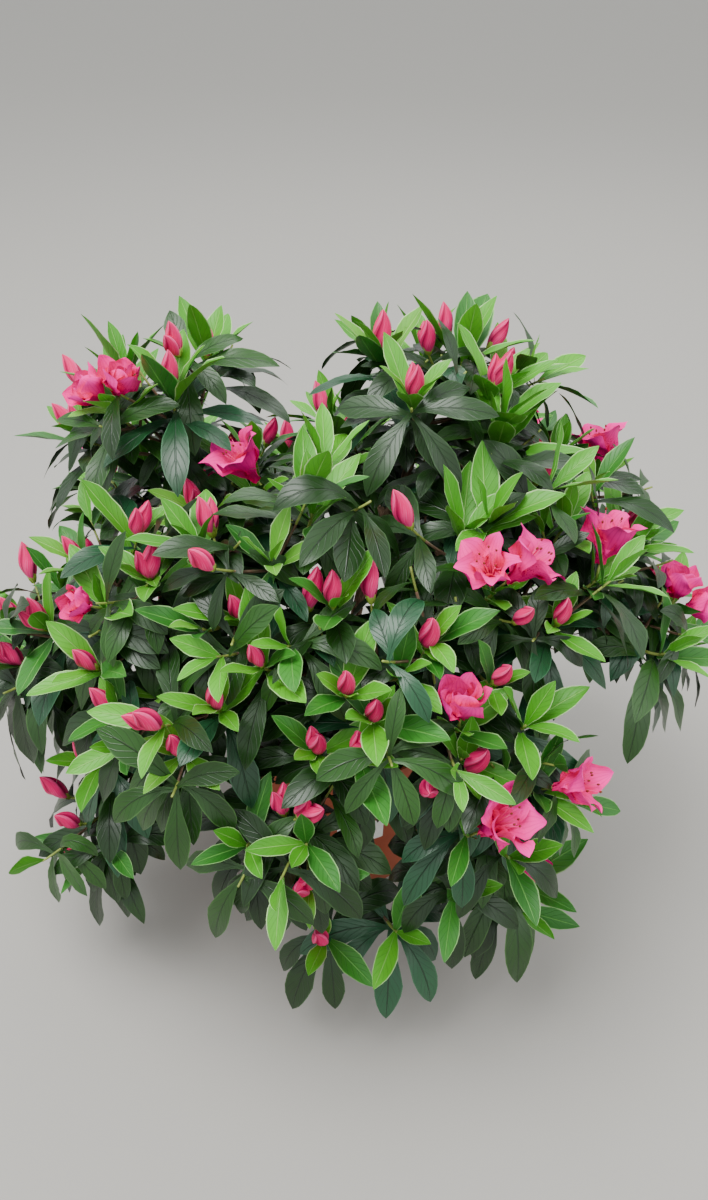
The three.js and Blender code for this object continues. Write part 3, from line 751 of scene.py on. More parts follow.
BARE_TWIG_RADII = (0.0009, 0.00045)
BARE_TWIG_CROOK = 0.5
POT_CLEARANCE = 0.006


def in_own_space(point, name):
    """Whether a point is nearer to its own mass than to any other, give or take what masses share."""
    own = plans[name][0]
    for other, (middle, _, _) in plans.items():
        if other != name:
            apart = np.linalg.norm(own - middle)
            depth = (np.sum((point - middle) ** 2) - np.sum((point - own) ** 2)) / (2 * apart)
            if depth < -SPACE_SHARED:
                return False
    return True


def in_pot(point):
    """Whether a point is inside the pot or just outside its wall."""
    level = min(max(point[2], 0), POT_HEIGHT)
    limit = pot_radius(level) + BAND_STEP + POT_CLEARANCE
    return point[2] < POT_HEIGHT + POT_CLEARANCE and math.hypot(point[0], point[1]) < limit


def shoot_tip(name, index, count, draw, lag):
    """Where a shoot ends: a spiral over a domed patch that faces out of the crown."""
    middle, facing, _ = plans[name]
    rise = square_part(UP, facing)
    spread = SHOOT_SPREAD * math.sqrt(count / SHOOT_CROWDING)
    distance = draw * spread * math.sqrt((index + 0.5) / count)
    tip = middle - distance * around(index * GOLDEN_ANGLE + lag, np.cross(facing, rise), rise)
    return tip - facing * distance**2 / CROWN_ROUNDING


class Shoot:
    """One shoot: its line from root to tip, the way its whorl faces, and what it carries."""

    def __init__(self, name, start, neck, tip, random, bears, is_side):
        self.name, self.start, self.neck, self.tip = name, start, neck, tip
        self.axis = unit(tip - neck)
        self.random, self.bears, self.is_side = random, bears, is_side

    def point(self, t):
        """A point on the shoot, from 0 at its root to 1 at its tip."""
        return self.start * (1 - t) ** 2 + 2 * self.neck * t * (1 - t) + self.tip * t * t


def main_shoot(name, index, count, flowering, random):
    """A shoot that forks from the end of a bough, as in the part's source."""
    limb = limbs[name]
    facing = plans[name][1]
    step = min(SHOOT_STEP / limb.length, SHOOTS_SPAN / (count + 1))
    start = limb.point(1 - (index + 0.5) * step)
    lag = random()
    stretch = mix(1 - SHOOT_REACH_RANGE, 1 + SHOOT_REACH_RANGE, random())
    draw = 1.0
    tip = shoot_tip(name, index, count, draw * stretch, lag)
    while draw - DRAW_STEP > SHORTEST_DRAW and not in_own_space(tip, name):
        draw -= DRAW_STEP
        tip = shoot_tip(name, index, count, draw * stretch, lag)
    axis = way((1, 1, SHOOT_RISE), unit(tip - start), facing, UP)
    bears = "flower" if index < flowering else "bud" if random() <= BUD_SHARE else "leaves"
    return Shoot(name, start, tip - axis * SHOOT_NECK, tip, random, bears, False)


def side_shoots(shoot):
    """The shorter shoots that part from a shoot, fewer of them low in the crown."""
    random = shoot.random
    outward = unit(np.cross(shoot.axis, way(SIDE_SHOOT_TURN, UP, plans[shoot.name][1])))
    share = mix(LOW_SIDE_SHARE, 1, share_of_way(shoot.tip[2], LOW_CROWN, HIGH_CROWN))
    for k in range(SIDE_SHOOTS):
        if random() > share:
            continue
        turn = math.tau * (k + TURN_WANDER * random()) / SIDE_SHOOTS
        away = around(turn, outward, np.cross(shoot.axis, outward))
        start = shoot.point(between(SIDE_SHOOT_ROOTS, random))
        axis = way(SIDE_SHOOT_WAY, shoot.axis, away, UP)
        length = SIDE_SHOOT_LENGTH * between(SIDE_SHOOT_RANGE, random)
        tip = start + axis * length + away * SIDE_SHOOT_STANCE
        if not in_pot(tip) and tip[2] > LOWEST_TIP and in_own_space(tip, shoot.name):
            neck = tip - axis * SIDE_NECK_SHARE * SIDE_SHOOT_LENGTH
            bears = "bud" if random() < SIDE_BUD_SHARE else "leaves"
            yield Shoot(shoot.name, start, neck, tip, random, bears, True)


def inner_shoots(name, random):
    """Short leafy shoots along a bough, inside the crown."""
    limb = limbs[name]
    facing = plans[name][1]
    for k in range(INNER_SHOOTS):
        start = limb.point(mix(*INNER_SHOOT_ROOTS, (k + random()) / INNER_SHOOTS))
        turn = math.tau * (k + TURN_WANDER * random()) / INNER_SHOOTS
        axis = way(INNER_SHOOT_WAY, around(turn, limb.beside, np.cross(limb.beside, facing)), facing, UP)
        tip = start + axis * INNER_SHOOT_LENGTH * between(INNER_SHOOT_RANGE, random)
        neck = tip - unit(axis + UP) * INNER_NECK_SHARE * INNER_SHOOT_LENGTH
        if tip[2] > LOW_CROWN and not in_pot(tip):
            yield Shoot(name, start, neck, tip, random, "leaves", True)


def bare_twig(limb, random):
    """The line of one dead twig, which wanders off from a bough."""
    line = [limb.point(between(BARE_TWIG_ROOTS, random))]
    heading = unit(limb.corners[3] - limb.corners[0]) + around(math.tau * random(), limb.beside, UP)
    for _ in range(BARE_TWIG_STEPS):
        wander = np.array([random(), random(), random()]) - 0.5
        heading = way((1, BARE_TWIG_CROOK), unit(heading), wander)
        line.append(line[-1] + heading * between(BARE_TWIG_STEP, random))
    return line


def green_stem():
    """The soft skin of young shoots, yellow-green and lightly haired."""
    material, tree, shader = new_material("stem_green_haired", roughness=0.6)
    spot = add_node(tree, "ShaderNodeTexCoord", {})
    at = (spot, "Object")
    blotch = add_node(tree, "ShaderNodeTexNoise", {"Vector": at, "Scale": 1 / BLOTCH_SIZE, "Detail": 3.0})
    tones = [(0.3, "#6F7E34"), (0.7, "#93A24A")]
    tone = add_node(tree, "ShaderNodeValToRGB", {"Fac": (blotch, "Fac")}, tones)
    tree.links.new(tone.outputs["Color"], shader.inputs["Base Color"])
    bump = add_node(tree, "ShaderNodeBump", {"Height": (blotch, "Fac"), "Strength": 0.3, "Distance": 0.0004})
    tree.links.new(bump.outputs["Normal"], shader.inputs["Normal"])
    return material


shoots = []
for number, (name, _, _, _, _, count, flowering) in enumerate(BOUGHS):
    first_seed = (number + 1) * SEEDS_A_MASS
    for i in range(count):
        shoot = main_shoot(name, i, count, flowering, make_random(first_seed + i))
        shoots.append(shoot)
        shoots.extend(side_shoots(shoot))
    shoots.extend(inner_shoots(name, make_random(first_seed + count)))

brown_twigs = Pile()
green_twigs = Pile()
for shoot in shoots:
    slimness = SIDE_SLIMNESS if shoot.is_side else 1
    root_radius, tip_radius = SHOOT_ROOT_RADIUS * slimness, SHOOT_TIP_RADIUS * slimness
    middle_radius = mix(root_radius, tip_radius, 1 - GREEN_SHARE)
    brown = [shoot.point(t) for t in np.linspace(0, 1 - GREEN_SHARE, BROWN_STEPS)]
    green = [shoot.point(t) for t in np.linspace(1 - GREEN_SHARE - GREEN_LAP, 1, GREEN_STEPS)]
    brown_radii = np.linspace(root_radius, middle_radius, BROWN_STEPS)
    green_radii = np.linspace(middle_radius, tip_radius, GREEN_STEPS)
    add_limb(brown_twigs, brown, brown_radii, SHOOT_SIDES, BROWN_RELIEF)
    add_limb(green_twigs, green, green_radii, SHOOT_SIDES, GREEN_RELIEF)
for number, limb in enumerate(limbs.values()):
    random = make_random(number + 1 + SEEDS_A_MASS * (len(BOUGHS) + 1))
    for _ in range(BARE_TWIGS):
        line = bare_twig(limb, random)
        if not any(in_pot(point) or point[2] < LOWEST_TIP for point in line):
            radii = np.linspace(*BARE_TWIG_RADII, len(line))
            add_limb(brown_twigs, line, radii, SHOOT_SIDES, BROWN_RELIEF)

# Blossom
# Thin living petals at the tips of shoots. Buds are spindles of petals wrapped round each other in a cup of
# green scales. Half-open flowers are cupped like small roses. Open ones are funnels of ruffled petals, one of
# them speckled, round smaller petals and a spray of stamens.
MASSES = ["leaves_" + row[0] for row in BOUGHS]
BUD_LENGTH = 0.034
BUD_RADIUS = 0.0064
BUD_SIZES = (0.8, 1.1)
BUD_LEANS = (0.15, 0.40)
BUD_RISE = 0.5
SINGLE_BUDS = 0.6
BUD_RINGS = 12
BUD_FULLEST = 0.49
BUD_ROUNDNESS = 0.8
BUD_FOOT = 0.1
BUD_POINT_RADIUS = 0.0003
WRAPS = 3
WRAP_COLUMNS = 8
WRAP_OVERLAP = 0.24
WRAP_TWIST = 1.7
WRAP_TWIST_LATE = 1.5
# The streaks are painted highlights on a bud's petals, this wide and this long.
HIGHLIGHT_STREAK_WIDTH = 0.0012
HIGHLIGHT_STREAK_LENGTH = 0.021
SCALES = 5
SCALE_LENGTHS = (0.009, 0.014)
SCALE_WIDTH = 0.006
SCALE_OPENING = 0.5
SCALE_CLOSING = -0.5
SCALE_CUP = 0.4
SCALE_SUNK = 0.001
PETAL_LENGTH = 0.044
PETAL_WIDTH = 0.023
PETAL_STANCE = 0.0012
PETAL_SHIFT = 0.25
PETAL_TWIST = 0.25
PETAL_SAG = 0.1
PETAL_VEINS = 7
SPECKLE_SPACING = 0.0019
BLADE_POINT = 0.03
WAVES = 11
WAVE_SLANT = 2.2
NOTCHES = 17
NOTCH_DEPTH = 0.3
CUP_ROUNDING = 1.4
FLOWER_WAY = (1, 0.7, 0.3)
FLOWER_SIZES = (0.85, 1.10)
ROSETTE_SIZES = (0.55, 0.75)
SINGLE_FLOWERS = 0.7
STALK_LENGTH = 0.013
STALK_RADIUS = 0.001
STAMENS = 6
STAMEN_LENGTH = 0.034
STAMEN_RANGE = (0.8, 1.1)
STAMEN_STANCE = 0.001
STAMEN_SPREAD = 0.006
STAMEN_RADII = (0.0005, 0.0003)
STAMEN_STEPS = 5
ANTHER_RADII = (0.0005, 0.0009, 0.0004)
ANTHER_LENGTH = 0.002
FINE_SIDES = 5
HALF_OPEN = ("left_peak", "left_mid", "right_far", "front_centre", "right_skirt", "back_left")
MOST_SHAPES = 8000

# Each ring of petals has a count, a turn from the first ring, ranges for its length and width as shares of a
# full petal, an opening from the flower's axis, a range for its flare, which closes it where it is negative,
# how late along the petal that comes, and how cupped and how rippled the petal is.
PetalRing = namedtuple("PetalRing", "count turn lengths widths opening flares late cup ripple")
FUNNEL = [
    PetalRing(5, 0.0, (0.90, 1.12), (0.90, 1.15), 0.38, (0.5, 1.3), 2.2, 0.25, 0.42),
    PetalRing(3, 1.0, (0.50, 0.78), (0.50, 0.75), 0.16, (0.2, 0.9), 2.0, 0.30, 0.70),
]
ROSETTE = [
    PetalRing(5, 0.0, (0.88, 1.02), (1.15, 1.35), 1.05, (-0.45, -1.05), 1.2, 0.35, 0.28),
    PetalRing(4, 0.9, (0.76, 0.90), (1.15, 1.35), 0.60, (-0.60, -0.95), 1.1, 0.40, 0.24),
    PetalRing(3, 1.8, (0.64, 0.76), (1.10, 1.30), 0.24, (-0.34, -0.50), 1.1, 0.40, 0.20),
]


def swell(along, fullest, roundness):
    """How full a long form is along its length: nothing at either end, and most where it is fullest."""
    return np.sin(math.pi * along ** (math.log(0.5) / math.log(fullest))) ** roundness


def grid_faces(rows, columns):
    """The four-sided faces between rows of corners."""
    faces = []
    for i in range(rows - 1):
        for k in range(columns - 1):
            a = i * columns + k
            faces.append((a, a + 1, a + columns + 1, a + columns))
    return faces


class Blade:
    """A kind of leaf or petal: its grid of corners, and how wide it is along its length."""

    def __init__(self, stations, columns, fullest, roundness, foot):
        self.along = np.sin(np.linspace(0, math.pi / 2, stations + 1))
        self.aside = np.linspace(-1, 1, columns + 1)
        self.marks = np.array([((a + 1) / 2, t) for t in self.along for a in self.aside])
        self.faces = grid_faces(stations + 1, columns + 1)
        ends = foot * (1 - self.along) + BLADE_POINT
        self.widths = np.maximum(swell(self.along, fullest, roundness), ends)

    def corners(self, root, direction, face, length, width, phase, bend, late=1, sag=0, cup=0, ripple=0):
        """Its corners once it bends back and sags, with margins that are raised by its cup and rippled."""
        steps = np.diff(self.along, append=1.0)
        bends = bend * np.diff(self.along**late, append=1.0)
        edge = np.abs(self.aside)
        centre = root
        rows = []
        for i, t in enumerate(self.along):
            wave = np.sin(WAVES * t + phase + WAVE_SLANT * self.aside)
            notch = 1 + NOTCH_DEPTH * ripple * edge * math.sin(NOTCHES * t + 2 * phase)
            half = width / 2 * self.widths[i]
            raised = cup * edge**CUP_ROUNDING + ripple * edge * wave
            out = np.outer(half * notch * self.aside, np.cross(face, direction))
            rows.append(centre + out + np.outer(half * raised, face))
            centre = centre + direction * length * steps[i]
            direction = unit(direction - bends[i] * face - sag * steps[i] * UP)
            face = square_part(face, direction)
        return np.concatenate(rows)


petal = Blade(stations=14, columns=8, fullest=0.58, roundness=0.95, foot=0.26)
round_petal = Blade(stations=10, columns=6, fullest=0.60, roundness=0.62, foot=0.4)
bud_scale = Blade(stations=5, columns=2, fullest=0.45, roundness=0.8, foot=0.6)


def shape_of(corners, faces):
    """A shape as the crowd knows it: its middle, how far it reaches from there, and its faces."""
    middle = corners.mean(axis=0)
    reach = np.sqrt(np.sum((corners - middle) ** 2, axis=1).max())
    return middle, reach, BVHTree.FromPolygons(corners.tolist(), faces)


class Crowd:
    """The shapes that stand in the crown already, so that no leaf is put through them."""

    def __init__(self):
        self.middles = np.zeros((MOST_SHAPES, 3))
        self.reaches = np.zeros(MOST_SHAPES)
        self.trees = []

    def add(self, shape):
        """The shape takes its place among the others."""
        number = len(self.trees)
        self.middles[number], self.reaches[number] = shape[0], shape[1]
        self.trees.append(shape[2])

    def is_clear(self, shape):
        """Whether a shape crosses none that stand already."""
        middle, reach, tree = shape
        count = len(self.trees)
        apart = np.sum((self.middles[:count] - middle) ** 2, axis=1)
        near = np.nonzero(apart < (self.reaches[:count] + reach) ** 2)[0]
        return not any(tree.overlap(self.trees[i]) for i in near)


def wrapped_petals():
    """Petals wrapped in a bud, hot pink, with painted highlights as paler streaks and along each edge, and
    painted shade beneath each edge.
    """
    material, tree, shader = new_material("petal_pink_wrapped_painted_light", roughness=0.5, specular=0.2)
    spot = add_node(tree, "ShaderNodeTexCoord", {})
    on_petal = add_node(tree, "ShaderNodeSeparateXYZ", {"Vector": (spot, "UV")})
    tones = [(0.03, "#B9C070"), (0.14, "#E83C80"), (0.5, "#F60070"), (1.0, "#C40050")]
    pink = add_node(tree, "ShaderNodeValToRGB", {"Fac": (on_petal, "Y")}, tones)
    # Painted highlights: paler streaks, and a pale band along each petal's outer edge, laid on in #FF6CA6.
    fine = (math.tau * BUD_RADIUS / WRAPS / HIGHLIGHT_STREAK_WIDTH, BUD_LENGTH / HIGHLIGHT_STREAK_LENGTH, 1.0)
    along = add_node(tree, "ShaderNodeMapping", {"Vector": (spot, "UV"), "Scale": fine})
    highlight_streak = add_node(tree, "ShaderNodeTexNoise", {"Vector": (along, "Vector"), "Scale": 1.0, "Detail": 3.0})
    light = add_node(
        tree,
        "ShaderNodeMapRange",
        {"Value": (highlight_streak, "Fac"), "From Min": 0.50, "From Max": 0.66, "To Min": 0.0, "To Max": 0.65},
    )
    edge_highlight = add_node(
        tree,
        "ShaderNodeMapRange",
        {"Value": (on_petal, "X"), "From Min": 0.78, "From Max": 1.0, "To Min": 0.0, "To Max": 0.6},
    )
    pale = add_node(tree, "ShaderNodeMath", {0: (light, "Result"), 1: (edge_highlight, "Result")}, operation="MAXIMUM")
    # Painted shade: the part of each petal that lies tucked under the edge of the one before is darkened
    # towards #8E0038.
    under = add_node(
        tree,
        "ShaderNodeMapRange",
        {"Value": (on_petal, "X"), "From Min": 0.0, "From Max": 0.34, "To Min": 0.9, "To Max": 0.0},
    )
    # Over the pink go the painted highlights, then the painted shade under each edge.
    layers = [((pale, "Value"), "#FF6CA6"), ((under, "Result"), "#8E0038")]
    skin = (pink, "Color")
    for factor, shade in layers:
        inputs = {"Factor": factor, "A": skin, "B": linear(shade)}
        skin = (add_node(tree, "ShaderNodeMix", inputs, data_type="RGBA"), "Result")
    tree.links.new(skin[0].outputs["Result"], shader.inputs["Base Color"])
    return material


def petal_skin(name, throat, middle, rim, speckle):
    """A thin petal or stamen with no gloss, paler at its rim, veined, and speckled where it should be."""
    material, tree, shader = new_material(name, roughness=0.6, specular=0.15)
    spot = add_node(tree, "ShaderNodeTexCoord", {})
    on_petal = add_node(tree, "ShaderNodeSeparateXYZ", {"Vector": (spot, "UV")})
    tones = [(0.0, throat), (0.5, middle), (1.0, rim)]
    pink = add_node(tree, "ShaderNodeValToRGB", {"Fac": (on_petal, "Y")}, tones)
    turns = math.tau * PETAL_VEINS
    across = add_node(tree, "ShaderNodeMath", {0: (on_petal, "X"), 1: turns}, operation="MULTIPLY")
    wave = add_node(tree, "ShaderNodeMath", {0: (across, "Value")}, operation="SINE")
    vein = add_node(
        tree,
        "ShaderNodeMapRange",
        {"Value": (wave, "Value"), "From Min": 0.2, "From Max": 1.0, "To Min": 0.0, "To Max": 0.2},
    )
    dots = add_node(tree, "ShaderNodeTexVoronoi", {"Vector": (spot, "Object"), "Scale": 1 / SPECKLE_SPACING})
    dot = add_node(
        tree,
        "ShaderNodeMapRange",
        {"Value": (dots, "Distance"), "From Min": 0.22, "From Max": 0.3, "To Min": speckle, "To Max": 0.0},
    )
    inner = add_node(
        tree,
        "ShaderNodeMapRange",
        {"Value": (on_petal, "Y"), "From Min": 0.55, "From Max": 0.75, "To Min": 1.0, "To Max": 0.0},
    )
    speck = add_node(tree, "ShaderNodeMath", {0: (dot, "Result"), 1: (inner, "Result")}, operation="MULTIPLY")
    marked = add_node(tree, "ShaderNodeMath", {0: (speck, "Value"), 1: (vein, "Result")}, operation="MAXIMUM")
    inputs = {"Factor": (marked, "Value"), "A": (pink, "Color"), "B": linear("#B4064A")}
    skin = add_node(tree, "ShaderNodeMix", inputs, data_type="RGBA")
    tree.links.new(skin.outputs["Result"], shader.inputs["Base Color"])
    return material


def scale_skin():
    """The green skin of a bud's scales, papery and yellower towards the tip."""
    material, tree, shader = new_material("scale_green_papery", roughness=0.5, specular=0.4)
    spot = add_node(tree, "ShaderNodeTexCoord", {})
    on_scale = add_node(tree, "ShaderNodeSeparateXYZ", {"Vector": (spot, "UV")})
    tones = [(0.0, "#84A03A"), (0.6, "#A8BC4E"), (1.0, "#C8BE70")]
    green = add_node(tree, "ShaderNodeValToRGB", {"Fac": (on_scale, "Y")}, tones)
    tree.links.new(green.outputs["Color"], shader.inputs["Base Color"])
    return material


crowd = Crowd()
buds = Pile()
scales = Pile()
petals = Pile()
speckled = Pile()
stamens = Pile()
anthers = Pile()
bud_sides = WRAPS * WRAP_COLUMNS
bud_foot = tuple(range(bud_sides))[::-1]
bud_point = tuple(range((BUD_RINGS - 1) * bud_sides, BUD_RINGS * bud_sides))
bud_faces = tube_faces(BUD_RINGS, bud_sides) + [bud_foot, bud_point]
bud_along = np.linspace(0, 1, BUD_RINGS)
bud_girths = np.maximum(swell(bud_along, BUD_FULLEST, BUD_ROUNDNESS), BUD_FOOT * (1 - bud_along))


def add_bud(root, axis, size, random):
    """One closed bud, each petal's edge winding round it over the next, and the scales at its foot."""
    above, beside = frame_round(axis)
    corners = []
    marks = []
    for t, girth in zip(bud_along, bud_girths):
        for k in range(bud_sides):
            share = (k % WRAP_COLUMNS) / (WRAP_COLUMNS - 1)
            turn = math.tau * k / bud_sides + WRAP_TWIST * t**WRAP_TWIST_LATE
            radius = size * BUD_RADIUS * girth * (1 + WRAP_OVERLAP * (share - 0.5))
            out = max(radius, BUD_POINT_RADIUS) * around(turn, above, beside)
            corners.append(root + axis * size * BUD_LENGTH * t + out)
            marks.append((share, t))
    corners = np.array(corners)
    buds.add(corners, bud_faces, np.array(marks))
    crowd.add(shape_of(corners, bud_faces))
    for k in range(SCALES):
        outward = around(k * math.tau / SCALES + random(), above, beside)
        direction = way((1, SCALE_OPENING), axis, outward)
        face = square_part(-outward, direction)
        length = between(SCALE_LENGTHS, random)
        foot = root - axis * SCALE_SUNK + outward * PETAL_STANCE
        form = {"bend": SCALE_CLOSING, "cup": SCALE_CUP}
        corners = bud_scale.corners(foot, direction, face, length, SCALE_WIDTH, 0, **form)
        scales.add(corners, bud_scale.faces, bud_scale.marks)


def add_flower(root, axis, kind, rings, size, random):
    """One flower: rings of petals round its axis, the first petal speckled."""
    above, beside = frame_round(axis)
    spin = math.tau * random()
    for ring in rings:
        for k in range(ring.count):
            turn = spin + ring.turn + k * math.tau / ring.count + PETAL_SHIFT * (random() - 0.5)
            outward = around(turn, above, beside)
            direction = way((1, ring.opening), axis, outward)
            inward = square_part(-outward, direction)
            face = way((1, PETAL_TWIST), inward, np.cross(inward, direction))
            length = size * PETAL_LENGTH * between(ring.lengths, random)
            width = size * PETAL_WIDTH * between(ring.widths, random)
            flare = between(ring.flares, random)
            phase = math.tau * random()
            foot = root + outward * PETAL_STANCE
            form = {"late": ring.late, "sag": PETAL_SAG, "cup": ring.cup, "ripple": ring.ripple}
            corners = kind.corners(foot, direction, face, length, width, phase, flare, **form)
            pile = speckled if ring is rings[0] and k == 0 else petals
            pile.add(corners, kind.faces, kind.marks)
            crowd.add(shape_of(corners, kind.faces))


def add_stamens(root, axis, size, random):
    """The spray of stamens in an open flower, each with the anther at its end."""
    above, beside = frame_round(axis)
    for k in range(STAMENS):
        outward = around(k * math.tau / STAMENS, above, beside)
        reach = size * STAMEN_LENGTH * between(STAMEN_RANGE, random)
        line = [
            root + axis * reach * t + outward * (STAMEN_STANCE + STAMEN_SPREAD * t * t)
            for t in np.linspace(0, 1, STAMEN_STEPS)
        ]
        add_limb(stamens, line, np.linspace(*STAMEN_RADII, STAMEN_STEPS), FINE_SIDES, 0)
        anther = [line[-1] + axis * t for t in np.linspace(0, ANTHER_LENGTH, len(ANTHER_RADII))]
        add_limb(anthers, anther, ANTHER_RADII, FINE_SIDES, 0)


for shoot in shoots:
    random = shoot.random
    above, beside = frame_round(shoot.axis)
    if shoot.bears == "flower":
        first = math.tau * random()
        for k in range(1 if random() < SINGLE_FLOWERS else 2):
            outward = around(first + k * math.pi, above, beside)
            axis = way(FLOWER_WAY, shoot.axis, outward, UP)
            root = shoot.tip + axis * STALK_LENGTH
            add_limb(green_twigs, [shoot.tip, root], (STALK_RADIUS, STALK_RADIUS), FINE_SIDES, 0)
            if shoot.name in HALF_OPEN:
                add_flower(root, axis, round_petal, ROSETTE, between(ROSETTE_SIZES, random), random)
            else:
                size = between(FLOWER_SIZES, random)
                add_flower(root, axis, petal, FUNNEL, size, random)
                add_stamens(root, axis, size, random)
    elif shoot.bears == "bud":
        first = math.tau * random()
        for k in range(1 if random() < SINGLE_BUDS else 2):
            outward = around(first + k * math.pi, above, beside)
            axis = way((1, BUD_LEANS[k], BUD_RISE), shoot.axis, outward, UP)
            add_bud(shoot.tip, axis, between(BUD_SIZES, random), random)

blossom_pieces = [
    ("flower_buds", buds, wrapped_petals()),
    ("bud_scales", scales, scale_skin()),
    ("petals", petals, petal_skin("petal_pink_ruffled", "#E4006A", "#FF0092", "#FF28A6", 0.0)),
    ("speckled_petals", speckled, petal_skin("petal_pink_speckled", "#DC0066", "#FA008A", "#FF249E", 0.9)),
    ("stamens", stamens, petal_skin("filament_pink_smooth", "#F0428A", "#F45A98", "#F78AB4", 0.0)),
    ("anthers", anthers, petal_skin("anther_brown_dusty", "#7A3B22", "#8A4A2A", "#9A5C38", 0.0)),
]
for name, pile, material in blossom_pieces:
    place(pile.piece(name, material), "foliage", *MASSES)
place(brown_twigs.piece("woody_twigs", bark), "bark", *MASSES)
place(green_twigs.piece("green_shoots", green_stem()), "foliage", *MASSES)

# Leaves
# Leathery evergreen blades, narrow at the foot and fullest past the middle, channelled along a sunken midrib.
# Old ones are dark and spread or hang. Young ones stand round the tip, bright and haired on their margins.
LEAF_STATIONS = 10
LEAF_COLUMNS = 4
LEAF_SPACING = 0.0019
LEAF_TRIES = 7
LEAF_LOOKS_UP = 0.6
LEAF_BEND_LATE = 1.2
LEAF_RIPPLE = 0.12
RETRY_TURN = 0.7
RETRY_LEAN = 0.5
RETRY_SAGS = (0.5, 1.5)
RETRY_SHRINK = 0.96
LEAST_LEAN = 0.35
MOST_LEAN = 1.9
YOUNG_LENGTH = 0.056
YOUNG_SHAPE = 0.31
YOUNG_LENGTHS = (0.85, 1.1)
YOUNG_TAPER = (1.12, 0.72)
YOUNG_WIDTHS = (0.9, 1.1)
YOUNG_LEANS = (58, 10)
YOUNG_LEAN_RANGE = 12
YOUNG_BENDS = (-0.1, 0.4)
YOUNG_SAGS = (0, 0.2)
YOUNG_CUP = 0.3
LOW_YOUNG_LOSS = 3
PALE_SHARE = 0.14
HALF_GROWN_SHARES = (0.3, 1.1)
PEAK_FOOT = 0.44
PEAK_TOP = 0.52
PEAK_VIGOUR = 1.3
OLD_LENGTH = 0.074
OLD_SHAPE = 0.285
OLD_LENGTHS = (0.75, 1.1)
OLD_WIDTHS = (0.88, 1.12)
OLD_LEANS = (96, 66)
OLD_LEAN_RANGE = 14
OLD_TURN_RANGE = 0.3
OLD_BEND = 0.3
OLD_SAGS = (0.3, 1.2)
OLD_CUP = 0.1
LOW_SAGS = (0.6, 1.5)
CROWN_TOP = 0.567
GROUND_CLEARANCE = 0.006
POT_CHECK_STEP = 7
CHECK_STEP = 2
TONE_SIZE = 0.10
MIDRIB_HALVES = (0.010, 0.036)
MARGIN_FROM = 0.445
SIDE_VEINS = 8
VEIN_SLANT = 0.55

# Each kind of whorl has counts of old and young leaves, a range for their size, the share of whorls that bear
# no young ones, and how far along the tints of old leaves it may go.
Whorl = namedtuple("Whorl", "old young vigours bare tints")
TIP_WHORL = Whorl(8, 6, (0.80, 1.12), 0.06, 1.0)
SIDE_WHORL = Whorl(6, 4, (0.68, 1.00), 0.70, 0.85)

# Each finish has a dark and a light green, the colours of veins, midrib and margin, and its roughness.
LEAF_FINISHES = {
    "old_leaves_deep": ("#0E2906", "#183B0D", "#0A1D05", "#0C2206", "#34562A", 0.34),
    "old_leaves_plain": ("#17390B", "#265214", "#122C09", "#122E0A", "#426A30", 0.36),
    # A bluish green, partly the old leaves' own tone and partly a painted sheen of the sky on their wax.
    "old_leaves_blue_painted_sheen": ("#133A1C", "#205232", "#0F2C17", "#0F2E18", "#3E6C4A", 0.32),
    "half_grown_leaves": ("#22601A", "#347E22", "#1E4E17", "#5A9A40", "#98C87C", 0.45),
    "young_leaves_bright": ("#419016", "#58AC22", "#397E18", "#7CBA50", "#C0E49C", 0.50),
    "young_leaves_pale": ("#57A024", "#70B836", "#4C9026", "#92CA60", "#CCEAAC", 0.52),
}
OLD_TINTS = [(0.5, "old_leaves_deep"), (0.82, "old_leaves_plain"), (1.0, "old_leaves_blue_painted_sheen")]

old_blade = Blade(LEAF_STATIONS, LEAF_COLUMNS, fullest=0.62, roundness=0.88, foot=0.1)
young_blade = Blade(LEAF_STATIONS, LEAF_COLUMNS, fullest=0.56, roundness=0.85, foot=0.1)
leaf_piles = {name: Pile() for name in LEAF_FINISHES}

# What is checked for a leaf is every second corner of it, without its foot, where leaves crowd on the shoot.
checked_columns = range(0, LEAF_COLUMNS + 1, CHECK_STEP)
checked_rows = range(CHECK_STEP, LEAF_STATIONS + 1, CHECK_STEP)
checked = [i * (LEAF_COLUMNS + 1) + k for i in checked_rows for k in checked_columns]
checked_faces = grid_faces(len(checked_rows), len(checked_columns))


def fits(corners):
    """Whether a leaf stays off the ground and the pot, and under the top of the crown."""
    inside = GROUND_CLEARANCE < corners[:, 2].min() and corners[:, 2].max() < CROWN_TOP
    return inside and not any(in_pot(point) for point in corners[::POT_CHECK_STEP])


def add_leaf(pile, blade, shoot, number, turn, lean, length, width, bend, sag, cup):
    """One leaf at its place down the shoot. One that would cross another is moved, or left out in the end."""
    above, beside = frame_round(shoot.axis)
    random = shoot.random
    phase = math.tau * random()
    root = shoot.tip - shoot.axis * LEAF_SPACING * number
    for _ in range(LEAF_TRIES):
        direction = around(lean, shoot.axis, around(turn, above, beside))
        face = square_part(shoot.axis + LEAF_LOOKS_UP * UP, direction)
        form = {"bend": bend, "late": LEAF_BEND_LATE, "sag": sag, "cup": cup, "ripple": LEAF_RIPPLE}
        corners = blade.corners(root, direction, face, length, width, phase, **form)
        if fits(corners):
            shape = shape_of(corners[checked], checked_faces)
            if crowd.is_clear(shape):
                crowd.add(shape)
                pile.add(corners, blade.faces, blade.marks)
                return
        turn += RETRY_TURN * (random() - 0.5)
        lean = min(max(lean + RETRY_LEAN * (random() - 0.5), LEAST_LEAN), MOST_LEAN)
        sag *= between(RETRY_SAGS, random)
        length *= RETRY_SHRINK


def lowness(shoot):
    """How low in the crown a shoot ends, from 0 at its upper part to 1 at its skirt."""
    return 1 - share_of_way(shoot.tip[2], LOW_CROWN, HIGH_CROWN)


